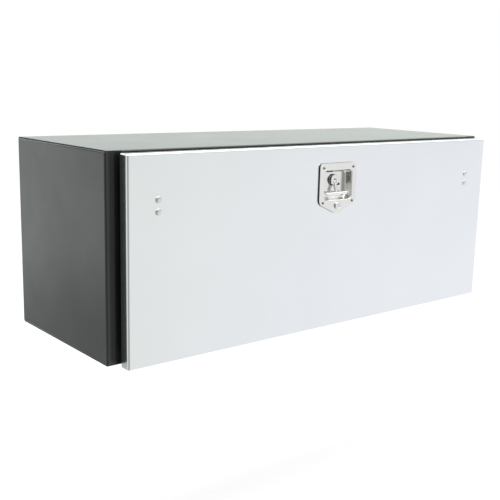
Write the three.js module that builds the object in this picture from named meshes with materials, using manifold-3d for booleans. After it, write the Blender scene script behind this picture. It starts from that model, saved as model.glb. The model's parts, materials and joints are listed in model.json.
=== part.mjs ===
// Under-deck tool box: a black sheet-steel body closed by a drop-down stainless door.
// Millimetres, +Z up, the door looks along -Y. Places are first worked out from the body's front
// lower left corner: x runs to the right, y to the back, z up. The last group then moves the whole
// box so that its origin is the centre of its base.
import * as THREE from 'three';
import { mergeVertices } from 'three/addons/utils/BufferGeometryUtils.js';
import Module from 'manifold-3d';

// Body: one bent wrapper closed by two end trays
const bodyLength = 1219.2;
const bodyHeight = 457.2;
const bodyDepth = 418.2;
const bodySheet = 2;
const bodyBend = 4;
const wrapperInset = 3;
const stileWidth = 39.7;
const headerHeight = 21.7;
const sillHeight = 21.7;
const endFlange = 20;

// Gap between pieces that rest on each other, and how far a cutter passes what it cuts
const seatGap = 0.3;
const overrun = 5;

// Neck round the opening, and the bulb seal on its edge
const frameSheet = 2;
const frameFlange = 16;
const neckReach = 26;
const neckCorner = 6;
const sealWall = 1.5;
const sealGrip = 10;
const bulbOverlap = 1;

// Door pan
const doorMarginLeft = 28.6;
const doorMarginRight = 10;
const doorMarginTop = 4.7;
const doorDrop = 4.5;
const doorGap = 12;
const doorDepth = 27.2;
const doorSheet = 1.5;
const doorEdge = 5;
const doorCorner = 6.5;

// Hat channels bonded inside the door
const hatSheet = 1.2;
const hatBend = 2.4;
const hatDepth = 14;
const hatCrown = 36;
const hatBrim = 14;
const hatInset = 14;
const hatHeightShares = [0.2, 0.46];

// Hinge along the door's lower edge
const knuckleRadius = 4;
const knuckleBore = 2.3;
const pinRadius = 2;
const leafSheet = 1.5;
const hingeLength = 1100;
const knuckleCount = 15;
const knuckleGap = 0.4;
const bodyLeafHeight = 16.5;
const doorLeafWidth = 26;
const leafRelief = 0.6;

// Latch plate with its pressed dish; the hub axis is the latch's centre
const hubBelowDoorTop = 86.7;
const latchOffset = 3.3;
const plateSheet = 2;
const plateWidth = 124;
const plateAboveHub = 43.5;
const plateShoulderBelowHub = 55.5;
const plateTipBelowHub = 84;
const plateCorner = 10;
const gasketSheet = 1.4;
const gasketInset = 1.6;
const dishWidth = 93;
const dishAboveHub = 25.5;
const dishBelowHub = 47;
const dishDepth = 19;
const dishCorner = 8;
const dishDraft = 4;
const dishSheet = 1.5;
const cutoutClearance = 0.8;
const plateRivetPitchX = 100;
const plateRivetAboveHub = 32.5;
const plateRivetBelowHub = 52.3;
const vent = { right: 18, below: 11.2, width: 11, height: 5.6 };

// Hub, T-handle and its pin
const hubRadius = 13.5;
const hubThickness = 7.3;
const hubSlot = 8.6;
const hubSlotTop = 5.4;
const handlePinBelowHub = 2;
const handlePinOut = 3.6;
const handlePinRadius = 1.75;
const handlePinLength = 23;
const pinClearance = 0.3;
const eyeRadius = 3.6;
const shankWidth = 8;
const shankThickness = 5.6;
const gripLength = 74;
const gripRadius = 3.7;
const gripBelowHub = 31.8;
const gripOut = 14.3;

// Spindle, bush, cam and nut
const spindleRadius = 5.5;
const spindleEnd = 19.5;
const spindleFit = 0.3;
const bushRadius = 11;
const bushLength = 9;
const camFront = 7.5;
const camSheet = 3;
const camThrow = 24;
const camWidth = 22;
const camPinRadius = 4;
const camPinLength = 7;
const turnHalf = THREE.MathUtils.degToRad(22.5);
const nutAcross = 18;
const nutThickness = 6;

// Rods, yokes, guides and strikers
const rodRadius = 4.75;
const rodBelowHub = 23.5;
const rodDepth = 14;
const rodTipGap = 6;
const yokeSheet = 3;
const yokeRim = 4;
const yokeClearance = 0.5;
const yokeRise = 1.9;
const yokeLap = 14;
const rightYokeRiser = 14;
const rightYokeOffset = 31;
const guideInsetLeft = 74.9;
const guideInsetRight = 80;
const guideLength = 32;
const guideSheet = 2;
const guideBend = 3;
const guideChannel = 17;
const guideBrim = 14;
const guideDepth = 59.4;
const guideBushFront = 6.5;
const guideRivetPitch = 25.7;
const bushFit = 0.3;
const bushCorner = 1;
const strikerSheet = 3;
const strikerHeight = 48;
const strikerWidth = 28;
const strikerInset = 9;

// Lock below the dish
const lockBelowHub = 61.5;
const lockFlangeRadius = 9.6;
const lockFlange = 3.7;
const lockEdge = 1.2;
const lockBarrelRadius = 8;
const lockBarrelEnd = 18;
const lockBore = 6.3;
const lockHoleFit = 0.4;
const plugRadius = 6;
const plugInset = 0.6;
const plugTail = 8;
const keySlotWidth = 1.6;
const keySlotHeight = 7.5;
const keySlotDepth = 6;
const pawlReach = 20;
const pawlWidth = 10;
const pawlSheet = 3;
const lockNutRadius = 12.7;
const lockNutThickness = 4;

// Rivets
const plateRivet = { head: 3.3, rise: 1.8, shank: 1.9, length: 8 };
const guideRivet = { head: 7.5, rise: 2.2, shank: 2.4, length: 5.6 };
const rivetFit = 0.35;

// Cable anchors
const anchorHeightShare = 0.58;
const anchorWidth = 28;
const anchorTall = 40;
const anchorSheet = 2;
const anchorBend = 3;
const anchorEye = 5;
const anchorEyeEdge = 10;
const bodyEarReach = 26;
const doorEarReach = 23;
const anchorInset = 10;
const doorAnchorInset = 14;

// Facets
const arcSteps = 4;
const roundSides = 20;
const fineSides = 28;
const hingeSides = 12;

// Planes and edges that follow from the sizes above
const doorFront = -(doorGap + doorDepth);
const doorBack = -doorGap;
const skinInside = doorFront + doorSheet;
const doorLeft = doorMarginLeft;
const doorRight = bodyLength - doorMarginRight;
const doorBottom = -doorDrop;
const doorTop = bodyHeight - doorMarginTop;
const latchX = (doorLeft + doorRight) / 2 + latchOffset;
const hubHeight = doorTop - hubBelowDoorTop;
const rodHeight = hubHeight - rodBelowHub;
const guidePlaceLeft = doorLeft + guideInsetLeft;
const guidePlaceRight = doorRight - guideInsetRight;
const anchorHeight = bodyHeight * anchorHeightShare;
const hatHeights = hatHeightShares.map((share) => doorBottom + (doorTop - doorBottom) * share);
const neckLeft = stileWidth + seatGap;
const neckRight = bodyLength - neckLeft;
const neckBottom = sillHeight + seatGap;
const neckTop = bodyHeight - headerHeight - seatGap;
const frameBack = bodySheet + seatGap + frameSheet;
const gasketBack = doorFront - seatGap;
const plateBack = gasketBack - gasketSheet - seatGap;
const plateFront = plateBack - plateSheet;
const dishFloor = plateFront + dishDepth;
const dishBack = dishFloor + dishSheet;
const hubBack = dishFloor - seatGap;
const hubFront = hubBack - hubThickness;
const lockHeight = hubHeight - lockBelowHub;
const lockFace = plateFront - seatGap - lockFlange;
const hingeY = -(seatGap + knuckleRadius);
const hingeZ = doorBottom + doorSheet + seatGap + knuckleRadius;

const wasm = await Module();
wasm.setup();

// Solids

function toSolid(geometry) {
  const bare = geometry.clone();
  bare.deleteAttribute('normal');
  bare.deleteAttribute('uv');
  const welded = mergeVertices(bare);
  const points = welded.attributes.position;
  const faces = Array.from(welded.index.array);
  const at = (i) => new THREE.Vector3().fromBufferAttribute(points, i);
  let volume = 0;
  for (let i = 0; i < faces.length; i += 3) {
    volume += at(faces[i]).dot(at(faces[i + 1]).cross(at(faces[i + 2])));
  }
  if (volume < 0) faces.reverse();
  return new wasm.Manifold(new wasm.Mesh({
    numProp: 3,
    vertProperties: new Float32Array(points.array),
    triVerts: new Uint32Array(faces),
  }));
}

function toGeometry(solid) {
  const mesh = solid.getMesh();
  const geometry = new THREE.BufferGeometry();
  geometry.setAttribute('position', new THREE.BufferAttribute(new Float32Array(mesh.vertProperties), 3));
  geometry.setIndex(new THREE.BufferAttribute(new Uint32Array(mesh.triVerts), 1));
  geometry.computeVertexNormals();
  return geometry;
}

function box(x0, x1, y0, y1, z0, z1) {
  const geometry = new THREE.BoxGeometry(x1 - x0, y1 - y0, z1 - z0);
  geometry.translate((x0 + x1) / 2, (y0 + y1) / 2, (z0 + z1) / 2);
  return toSolid(geometry);
}

function cylinderY(x, z, radius, y0, y1, sides = roundSides) {
  const geometry = new THREE.CylinderGeometry(radius, radius, y1 - y0, sides);
  geometry.translate(x, (y0 + y1) / 2, z);
  return toSolid(geometry);
}

function cylinderX(y, z, radius, x0, x1, sides = roundSides) {
  const geometry = new THREE.CylinderGeometry(radius, radius, x1 - x0, sides);
  geometry.rotateZ(-Math.PI / 2);
  geometry.translate((x0 + x1) / 2, y, z);
  return toSolid(geometry);
}

function extrusion(shape, length) {
  return new THREE.ExtrudeGeometry(shape, { depth: length, bevelEnabled: false, curveSegments: arcSteps });
}

// Outline in (y, z), carried along x
function alongX(shape, x0, x1) {
  const geometry = extrusion(shape, x1 - x0);
  const turn = new THREE.Matrix4().makeBasis(
    new THREE.Vector3(0, 1, 0), new THREE.Vector3(0, 0, 1), new THREE.Vector3(1, 0, 0));
  geometry.applyMatrix4(turn);
  geometry.translate(x0, 0, 0);
  return toSolid(geometry);
}

// Outline in (x, z), carried along y
function alongY(shape, y0, y1) {
  const geometry = extrusion(shape, y1 - y0);
  geometry.rotateX(Math.PI / 2);
  geometry.translate(0, y1, 0);
  return toSolid(geometry);
}

// Outline in (x, y), carried along z
function alongZ(shape, z0, z1) {
  const geometry = extrusion(shape, z1 - z0);
  geometry.translate(0, 0, z0);
  return toSolid(geometry);
}

function roundedRectangle(u0, v0, u1, v1, radius) {
  const shape = new THREE.Shape();
  shape.moveTo(u0 + radius, v0);
  shape.lineTo(u1 - radius, v0);
  shape.absarc(u1 - radius, v0 + radius, radius, -Math.PI / 2, 0);
  shape.lineTo(u1, v1 - radius);
  shape.absarc(u1 - radius, v1 - radius, radius, 0, Math.PI / 2);
  shape.lineTo(u0 + radius, v1);
  shape.absarc(u0 + radius, v1 - radius, radius, Math.PI / 2, Math.PI);
  shape.lineTo(u0, v0 + radius);
  shape.absarc(u0 + radius, v0 + radius, radius, Math.PI, Math.PI * 3 / 2);
  return shape;
}

// Section of a bent sheet. The path follows one face, with the sheet on its left hand side, and each
// corner is a bend whose outer radius is given.
function bentSheet(path, sheet, bend) {
  const face = [];
  const other = [];
  const corners = path.map(([u, v]) => new THREE.Vector2(u, v));
  const left = (d) => new THREE.Vector2(-d.y, d.x);
  const last = corners.length - 1;
  for (let i = 0; i <= last; i += 1) {
    const before = i > 0 ? corners[i].clone().sub(corners[i - 1]).normalize() : null;
    const after = i < last ? corners[i + 1].clone().sub(corners[i]).normalize() : null;
    if (!before || !after) {
      face.push(corners[i]);
      other.push(corners[i].clone().addScaledVector(left(before || after), sheet));
      continue;
    }
    const turn = Math.sign(before.cross(after));
    const near = turn > 0 ? bend : bend - sheet;
    const far = turn > 0 ? bend - sheet : bend;
    const centre = corners[i].clone().addScaledVector(before, -near).addScaledVector(after, near);
    const from = left(before).multiplyScalar(-turn).angle();
    for (let k = 0; k <= arcSteps; k += 1) {
      const angle = from + turn * (Math.PI / 2) * (k / arcSteps);
      const ray = new THREE.Vector2(Math.cos(angle), Math.sin(angle));
      face.push(centre.clone().addScaledVector(ray, near));
      other.push(centre.clone().addScaledVector(ray, far));
    }
  }
  return new THREE.Shape([...face, ...other.reverse()]);
}

// Corners of a rounded rectangle in (x, z) with their outward rays, going round once
function rimStations(x0, z0, x1, z1, radius) {
  const centres = [
    [x1 - radius, z0 + radius, -Math.PI / 2], [x1 - radius, z1 - radius, 0],
    [x0 + radius, z1 - radius, Math.PI / 2], [x0 + radius, z0 + radius, Math.PI],
  ];
  const stations = [];
  for (const [cx, cz, start] of centres) {
    for (let k = 0; k <= arcSteps; k += 1) {
      const angle = start + (Math.PI / 2) * (k / arcSteps);
      const ray = [Math.cos(angle), Math.sin(angle)];
      stations.push({ x: cx + radius * ray[0], z: cz + radius * ray[1], ray });
    }
  }
  return stations;
}

// Closed rubber section (outward, y) carried once round a rounded rectangle
function rimSweep(section, stations) {
  const positions = [];
  const index = [];
  for (const station of stations) {
    for (const [out, y] of section) {
      positions.push(station.x + out * station.ray[0], y, station.z + out * station.ray[1]);
    }
  }
  const rows = stations.length;
  const count = section.length;
  for (let i = 0; i < rows; i += 1) {
    const next = (i + 1) % rows;
    for (let j = 0; j < count; j += 1) {
      const beside = (j + 1) % count;
      const a = i * count + j;
      const b = next * count + j;
      const c = next * count + beside;
      const d = i * count + beside;
      index.push(a, b, c, a, c, d);
    }
  }
  const geometry = new THREE.BufferGeometry();
  geometry.setAttribute('position', new THREE.BufferAttribute(new Float32Array(positions), 3));
  geometry.setIndex(index);
  return toSolid(geometry);
}

// Closed block through rings of equal count, each a list of stations at its own y
function ringStack(rings) {
  const count = rings[0].stations.length;
  const positions = [];
  const index = [];
  for (const { stations, y } of rings) {
    stations.forEach((p) => positions.push(p.x, y, p.z));
  }
  const last = (rings.length - 1) * count;
  for (let row = 0; row < last; row += count) {
    for (let i = 0; i < count; i += 1) {
      const next = (i + 1) % count;
      index.push(row + i, row + next, row + count + next);
      index.push(row + i, row + count + next, row + count + i);
    }
  }
  for (let i = 1; i < count - 1; i += 1) {
    index.push(0, i + 1, i);
    index.push(last, last + i, last + i + 1);
  }
  const geometry = new THREE.BufferGeometry();
  geometry.setAttribute('position', new THREE.BufferAttribute(new Float32Array(positions), 3));
  geometry.setIndex(index);
  return toSolid(geometry);
}

// Tapered well: a rounded rectangle at the front that narrows towards the back
function taperedWell(x0, z0, x1, z1, radius, taper, y0, y1) {
  return ringStack([
    { stations: rimStations(x0, z0, x1, z1, radius), y: y0 },
    { stations: rimStations(x0 + taper, z0 + taper, x1 - taper, z1 - taper, radius - taper / 2), y: y1 },
  ]);
}

// Turned piece about a line along y; the profile is (radius, y) from axis to axis
function turned(profile, sides = roundSides) {
  const points = profile.map(([radius, y]) => new THREE.Vector2(radius, y));
  return toSolid(new THREE.LatheGeometry(points, sides));
}

// Materials

const finish = (color, roughness, metalness) => new THREE.MeshStandardMaterial({ color, roughness, metalness });
const blackCoat = finish(0x2c2c2a, 0.42, 0);
const polishedSteel = finish(0xdfe3e2, 0.22, 1);
const brushedSteel = finish(0xc9cbc8, 0.35, 1);
const zincSteel = finish(0xb4b7ba, 0.4, 1);
const blackRubber = finish(0x181818, 0.75, 0);
const nylon = finish(0xe6e4dc, 0.55, 0);

const assembly = new THREE.Group();

function add(name, solid, material, x = 0, y = 0, z = 0) {
  const mesh = new THREE.Mesh(toGeometry(solid), material);
  mesh.name = name;
  mesh.position.set(x, y, z);
  assembly.add(mesh);
}

// Body

function bodyWrapper() {
  const section = bentSheet([
    [0, sillHeight], [0, 0], [bodyDepth, 0], [bodyDepth, bodyHeight], [0, bodyHeight],
    [0, bodyHeight - headerHeight],
  ], bodySheet, bodyBend);
  let solid = alongX(section, wrapperInset, bodyLength - wrapperInset);
  const notchDepth = bodyBend + seatGap;
  for (const [x0, x1] of [[-overrun, neckLeft], [neckRight, bodyLength + overrun]]) {
    solid = solid.subtract(box(x0, x1, -overrun, notchDepth, bodySheet, bodyHeight - bodySheet));
  }
  return solid;
}

function endPanel() {
  const low = bodySheet + seatGap;
  const high = bodyHeight - bodySheet - seatGap;
  const back = bodyDepth - bodySheet - seatGap;
  const upright = bentSheet([
    [endFlange, high], [0, high], [0, low], [endFlange, low],
  ], bodySheet, bodyBend);
  const level = bentSheet([
    [stileWidth, 0], [0, 0], [0, back], [endFlange, back],
  ].reverse(), bodySheet, bodyBend);
  return alongY(upright, bodyBend, back - bodyBend).add(alongZ(level, low + bodyBend, high - bodyBend));
}

function doorFrame() {
  const flange = alongY(
    roundedRectangle(neckLeft - frameFlange, neckBottom - frameFlange,
      neckRight + frameFlange, neckTop + frameFlange, neckCorner),
    frameBack - frameSheet, frameBack);
  const neck = alongY(
    roundedRectangle(neckLeft, neckBottom, neckRight, neckTop, neckCorner), -neckReach, frameBack);
  const opening = alongY(
    roundedRectangle(neckLeft + frameSheet, neckBottom + frameSheet,
      neckRight - frameSheet, neckTop - frameSheet, neckCorner - frameSheet),
    -neckReach - overrun, frameBack + overrun);
  return flange.add(neck).subtract(opening);
}

function doorSeal() {
  const gripBack = -(neckReach - sealGrip);
  const slotFront = -(neckReach + seatGap);
  const gripFront = slotFront - sealWall;
  const outside = seatGap + sealWall;
  const inside = -(frameSheet + seatGap + sealWall);
  const bulbFront = skinInside + seatGap;
  const bulbBack = gripFront + bulbOverlap;
  const bulbRadius = (bulbBack - bulbFront) / 2;
  const bulbY = (bulbBack + bulbFront) / 2;
  const bulbOut = -frameSheet / 2;
  const lift = Math.asin((gripFront - bulbY) / bulbRadius);
  const bulbSteps = arcSteps * 3;
  const bulb = [];
  for (let i = 0; i <= bulbSteps; i += 1) {
    const angle = lift - (Math.PI + lift * 2) * (i / bulbSteps);
    bulb.push([bulbOut + bulbRadius * Math.cos(angle), bulbY + bulbRadius * Math.sin(angle)]);
  }
  const section = [
    [outside, gripBack], ...bulb, [inside, gripBack],
    [-(frameSheet + seatGap), gripBack], [-(frameSheet + seatGap), slotFront],
    [seatGap, slotFront], [seatGap, gripBack],
  ];
  return rimSweep(section, rimStations(neckLeft, neckBottom, neckRight, neckTop, neckCorner));
}

function striker() {
  const front = frameBack + seatGap;
  return box(strikerInset, strikerInset + strikerWidth, front, front + strikerSheet,
    rodHeight - strikerHeight / 2, rodHeight + strikerHeight / 2);
}

// Angle bracket with a round eye in its ear: the base lies in a plane of constant y
function anchor(baseY, earReach, x0, earOnRight) {
  const x1 = x0 + anchorWidth;
  const outline = earOnRight
    ? [[x1, baseY + earReach], [x1, baseY], [x0, baseY]]
    : [[x1, baseY], [x0, baseY], [x0, baseY + earReach]];
  const path = earOnRight ? outline.reverse() : outline.reverse();
  const solid = alongZ(bentSheet(path, anchorSheet, anchorBend),
    anchorHeight - anchorTall / 2, anchorHeight + anchorTall / 2);
  const earX = earOnRight ? x1 : x0;
  return solid.subtract(cylinderX(baseY + earReach - anchorEyeEdge, anchorHeight, anchorEye,
    earX - overrun, earX + overrun));
}

// Hinge

const knucklePitch = hingeLength / knuckleCount;
const hingeLeft = (bodyLength - hingeLength) / 2;

function hingeLeaf(leaf, clearBox, ownsEven) {
  const hingeRight = hingeLeft + hingeLength;
  let solid = cylinderX(hingeY, hingeZ, knuckleRadius, hingeLeft, hingeRight, hingeSides).add(leaf);
  solid = solid.subtract(cylinderX(hingeY, hingeZ, knuckleBore, hingeLeft - overrun, hingeRight + overrun,
    hingeSides));
  for (let i = 0; i < knuckleCount; i += 1) {
    if ((i % 2 === 0) === ownsEven) continue;
    const x0 = hingeLeft + i * knucklePitch - knuckleGap;
    solid = solid.subtract(clearBox(x0, x0 + knucklePitch + knuckleGap * 2));
  }
  return solid;
}

function hingeBodyLeaf() {
  const back = hingeY + knuckleRadius;
  const leaf = box(hingeLeft, hingeLeft + hingeLength, back - leafSheet, back, hingeZ, hingeZ + bodyLeafHeight);
  const reach = knuckleRadius + leafRelief;
  return hingeLeaf(leaf, (x0, x1) => box(x0, x1, hingeY - reach, hingeY + reach,
    hingeZ - reach, hingeZ + reach), true);
}

function hingeDoorLeaf() {
  const low = hingeZ - knuckleRadius;
  const leaf = box(hingeLeft, hingeLeft + hingeLength, hingeY - doorLeafWidth, hingeY, low, low + leafSheet);
  const reach = knuckleRadius + leafRelief;
  return hingeLeaf(leaf, (x0, x1) => box(x0, x1, hingeY - reach, hingeY + reach,
    hingeZ - reach, hingeZ + reach), false);
}

// Door

// Block with its front edges rounded, from front to back
function softBlock(x0, z0, x1, z1, y0, y1, edge, corner) {
  const rings = [];
  for (let k = 0; k <= arcSteps; k += 1) {
    const angle = (Math.PI / 2) * (k / arcSteps);
    const inset = edge * (1 - Math.sin(angle));
    rings.push({
      stations: rimStations(x0 + inset, z0 + inset, x1 - inset, z1 - inset, corner - inset),
      y: y0 + edge * (1 - Math.cos(angle)),
    });
  }
  rings.push({ stations: rimStations(x0, z0, x1, z1, corner), y: y1 });
  return ringStack(rings);
}

const plateRivetPlaces = [
  [-1, plateRivetAboveHub], [1, plateRivetAboveHub], [-1, -plateRivetBelowHub], [1, -plateRivetBelowHub],
].map(([side, rise]) => [latchX + side * plateRivetPitchX / 2, hubHeight + rise]);

const guideRivetPlaces = [guidePlaceLeft, guidePlaceRight].flatMap(
  (x) => [1, -1].map((side) => [x, rodHeight + side * guideRivetPitch / 2]));

function dishCutout(grow, y0, y1) {
  return alongY(roundedRectangle(latchX - dishWidth / 2 - grow, hubHeight - dishBelowHub - grow,
    latchX + dishWidth / 2 + grow, hubHeight + dishAboveHub + grow, dishCorner + grow), y0, y1);
}

function doorPan() {
  const outer = softBlock(doorLeft, doorBottom, doorRight, doorTop, doorFront, doorBack, doorEdge, doorCorner);
  const inner = softBlock(doorLeft + doorSheet, doorBottom + doorSheet, doorRight - doorSheet,
    doorTop - doorSheet, skinInside, doorBack + overrun, doorEdge - doorSheet, doorCorner - doorSheet);
  let solid = outer.subtract(inner);
  const y0 = doorFront - overrun;
  const y1 = skinInside + overrun;
  solid = solid.subtract(dishCutout(dishSheet + cutoutClearance, y0, y1));
  solid = solid.subtract(cylinderY(latchX, lockHeight, lockBarrelRadius + lockHoleFit, y0, y1));
  for (const [x, z] of plateRivetPlaces) {
    solid = solid.subtract(cylinderY(x, z, plateRivet.shank + rivetFit, y0, y1, roundSides / 2));
  }
  for (const [x, z] of guideRivetPlaces) {
    solid = solid.subtract(cylinderY(x, z, guideRivet.shank + rivetFit, y0, y1, roundSides / 2));
  }
  return solid;
}

// Hat channel section in (y, z) about height 0, open towards the front
function hatSection(front, depth, crown, brim, sheet, bend) {
  const back = front + depth;
  return bentSheet([
    [front, crown / 2 + brim], [front, crown / 2], [back, crown / 2],
    [back, -crown / 2], [front, -crown / 2], [front, -crown / 2 - brim],
  ].reverse(), sheet, bend);
}

function doorStiffener() {
  const section = hatSection(skinInside + seatGap + hatSheet, hatDepth - hatSheet, hatCrown, hatBrim,
    hatSheet, hatBend);
  return alongX(section, neckLeft + hatInset, neckRight - hatInset);
}

// Latch plate

function pentagon(inset) {
  const half = plateWidth / 2 - inset;
  const top = hubHeight + plateAboveHub - inset;
  const shoulder = hubHeight - plateShoulderBelowHub;
  const drop = (plateTipBelowHub - plateShoulderBelowHub);
  const slope = Math.atan2(drop, plateWidth / 2);
  const tip = hubHeight - plateTipBelowHub + inset / Math.cos(slope);
  const shoulderInset = shoulder + inset * Math.tan(slope / 2);
  const corners = [
    [latchX - half, shoulderInset], [latchX, tip], [latchX + half, shoulderInset],
    [latchX + half, top], [latchX - half, top],
  ].map(([x, z]) => new THREE.Vector2(x, z));
  const shape = new THREE.Shape();
  corners.forEach((corner, i) => {
    const back = corners[(i + 4) % 5].clone().sub(corner).normalize();
    const ahead = corners[(i + 1) % 5].clone().sub(corner).normalize();
    const setBack = plateCorner / Math.tan(Math.acos(back.dot(ahead)) / 2);
    const from = corner.clone().addScaledVector(back, setBack);
    const to = corner.clone().addScaledVector(ahead, setBack);
    if (i === 0) shape.moveTo(from.x, from.y);
    else shape.lineTo(from.x, from.y);
    shape.quadraticCurveTo(corner.x, corner.y, to.x, to.y);
  });
  return shape;
}

function latchPlate() {
  const x0 = latchX - dishWidth / 2;
  const x1 = latchX + dishWidth / 2;
  const z0 = hubHeight - dishBelowHub;
  const z1 = hubHeight + dishAboveHub;
  const wall = dishSheet;
  let solid = alongY(pentagon(0), plateFront, plateBack);
  solid = solid.add(taperedWell(x0 - wall, z0 - wall, x1 + wall, z1 + wall, dishCorner + wall, dishDraft,
    plateFront + plateSheet / 2, dishBack));
  solid = solid.subtract(taperedWell(x0, z0, x1, z1, dishCorner, dishDraft, plateFront - seatGap, dishFloor));
  const y0 = plateFront - overrun;
  solid = solid.subtract(cylinderY(latchX, hubHeight, spindleRadius + spindleFit * 2, y0, dishBack + overrun));
  solid = solid.subtract(cylinderY(latchX, lockHeight, lockBarrelRadius + lockHoleFit, y0, plateBack + overrun));
  for (const [x, z] of plateRivetPlaces) {
    solid = solid.subtract(cylinderY(x, z, plateRivet.shank + rivetFit, y0, plateBack + overrun, roundSides / 2));
  }
  const ventX = latchX + vent.right;
  const ventZ = hubHeight - vent.below;
  return solid.subtract(box(ventX - vent.width / 2, ventX + vent.width / 2, dishFloor - overrun,
    dishBack + overrun, ventZ - vent.height / 2, ventZ + vent.height / 2));
}

function latchGasket() {
  let solid = alongY(pentagon(gasketInset), gasketBack - gasketSheet, gasketBack);
  const y0 = plateFront - overrun;
  solid = solid.subtract(dishCutout(dishSheet + cutoutClearance, y0, skinInside + overrun));
  solid = solid.subtract(cylinderY(latchX, lockHeight, lockBarrelRadius + lockHoleFit, y0, skinInside));
  for (const [x, z] of plateRivetPlaces) {
    solid = solid.subtract(cylinderY(x, z, plateRivet.shank + rivetFit, y0, skinInside, roundSides / 2));
  }
  return solid;
}

function rivet({ head, rise, shank, length }) {
  const profile = [];
  for (let i = 0; i <= arcSteps; i += 1) {
    const angle = (Math.PI / 2) * (i / arcSteps);
    profile.push([head * Math.sin(angle), -rise * Math.cos(angle)]);
  }
  profile.push([shank, 0], [shank, length], [0, length]);
  return turned(profile, roundSides);
}

// Hub, handle and lock

const handlePinY = hubFront + handlePinOut;
const handlePinZ = hubHeight - handlePinBelowHub;
const gripY = dishFloor - gripOut;
const gripZ = hubHeight - gripBelowHub;

function latchHub() {
  let solid = cylinderY(latchX, hubHeight, hubRadius, hubFront, hubBack, fineSides);
  const slot = roundedRectangle(latchX - hubSlot / 2, hubHeight - hubRadius - overrun,
    latchX + hubSlot / 2, hubHeight + hubSlotTop, hubSlot / 2 - seatGap);
  solid = solid.subtract(alongY(slot, hubFront - overrun, hubBack + overrun));
  return solid.subtract(cylinderX(handlePinY, handlePinZ, handlePinRadius + pinClearance,
    latchX - hubRadius - overrun, latchX + hubRadius + overrun, roundSides / 2));
}

function tHandle() {
  const x0 = latchX - shankWidth / 2;
  const x1 = latchX + shankWidth / 2;
  const eye = cylinderX(handlePinY, handlePinZ, eyeRadius, x0, x1, roundSides);
  const run = new THREE.Vector2(gripY - handlePinY, gripZ - handlePinZ);
  const side = new THREE.Vector2(-run.y, run.x).normalize().multiplyScalar(shankThickness / 2);
  const start = new THREE.Vector2(handlePinY, handlePinZ);
  const end = new THREE.Vector2(gripY, gripZ);
  const web = new THREE.Shape([
    start.clone().add(side), start.clone().sub(side), end.clone().sub(side), end.clone().add(side),
  ]);
  const bar = gripLength / 2;
  const profile = [[0, -bar]];
  for (let i = 1; i <= arcSteps; i += 1) {
    const angle = (Math.PI / 2) * (i / arcSteps);
    profile.push([gripRadius * Math.sin(angle), -bar + gripRadius * (1 - Math.cos(angle))]);
  }
  const whole = [...profile, ...profile.map(([r, y]) => [r, -y]).reverse()];
  const points = whole.map(([r, y]) => new THREE.Vector2(r, y));
  const barGeometry = new THREE.LatheGeometry(points, roundSides - arcSteps * 2);
  barGeometry.rotateZ(Math.PI / 2);
  barGeometry.translate(latchX, gripY, gripZ);
  const hole = cylinderX(handlePinY, handlePinZ, handlePinRadius + pinClearance, x0 - overrun, x1 + overrun,
    roundSides / 2);
  return eye.add(alongX(web, x0, x1)).add(toSolid(barGeometry)).subtract(hole);
}

function handlePin() {
  const half = handlePinLength / 2;
  return cylinderX(handlePinY, handlePinZ, handlePinRadius, latchX - half, latchX + half, roundSides / 2);
}

function spindle() {
  return cylinderY(latchX, hubHeight, spindleRadius, hubBack + seatGap, spindleEnd, roundSides);
}

function spindleBush() {
  const front = dishBack + seatGap;
  return cylinderY(latchX, hubHeight, bushRadius, front, front + bushLength, roundSides)
    .subtract(cylinderY(latchX, hubHeight, spindleRadius + spindleFit, front - overrun,
      front + bushLength + overrun, roundSides));
}

const camPinX = camThrow * Math.sin(turnHalf);
const camPinZ = camThrow * Math.cos(turnHalf);

function camPlate() {
  const half = camThrow + camWidth / 2;
  const outline = roundedRectangle(-camWidth / 2, -half, camWidth / 2, half, camWidth / 2 - seatGap);
  const geometry = extrusion(outline, camSheet);
  geometry.rotateX(Math.PI / 2);
  geometry.rotateY(-turnHalf);
  geometry.translate(latchX, camFront + camSheet, hubHeight);
  let solid = toSolid(geometry);
  for (const side of [1, -1]) {
    solid = solid.add(cylinderY(latchX + side * camPinX, hubHeight - side * camPinZ, camPinRadius,
      camFront + camSheet / 2, camFront + camSheet + camPinLength, roundSides));
  }
  return solid.subtract(cylinderY(latchX, hubHeight, spindleRadius + spindleFit, camFront - overrun,
    camFront + camSheet + overrun, roundSides));
}

function spindleNut() {
  const front = camFront + camSheet + seatGap;
  const corner = nutAcross / 2 / Math.cos(Math.PI / 6);
  return cylinderY(latchX, hubHeight, corner, front, front + nutThickness, 6)
    .subtract(cylinderY(latchX, hubHeight, spindleRadius + spindleFit, front - overrun,
      front + nutThickness + overrun, roundSides));
}

function lockCylinder() {
  const back = plateFront - seatGap;
  const profile = [
    [lockBore, lockFace], [lockFlangeRadius - lockEdge, lockFace], [lockFlangeRadius, lockFace + lockEdge],
    [lockFlangeRadius, back], [lockBarrelRadius, back], [lockBarrelRadius, -lockBarrelEnd],
    [lockBore, -lockBarrelEnd], [lockBore, lockFace],
  ];
  return turned(profile, fineSides);
}

function keyPlug() {
  const front = lockFace + plugInset;
  const solid = cylinderY(0, 0, plugRadius, front, -lockBarrelEnd + plugTail, roundSides);
  return solid.subtract(box(-keySlotWidth / 2, keySlotWidth / 2, front - overrun, front + keySlotDepth,
    -keySlotHeight / 2, keySlotHeight / 2));
}

function lockPawl() {
  const front = -lockBarrelEnd + seatGap;
  const outline = roundedRectangle(-pawlWidth, -pawlWidth, pawlReach, pawlWidth, pawlWidth / 2);
  return alongY(outline, front, front + pawlSheet)
    .subtract(cylinderY(0, 0, plugRadius + seatGap, front - overrun, front + pawlSheet + overrun, roundSides));
}

function lockNut() {
  const front = skinInside + seatGap;
  return cylinderY(0, 0, lockNutRadius, front, front + lockNutThickness, 6)
    .subtract(cylinderY(0, 0, lockBarrelRadius + seatGap, front - overrun, front + lockNutThickness + overrun,
      roundSides));
}

// Rods and guides

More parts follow.
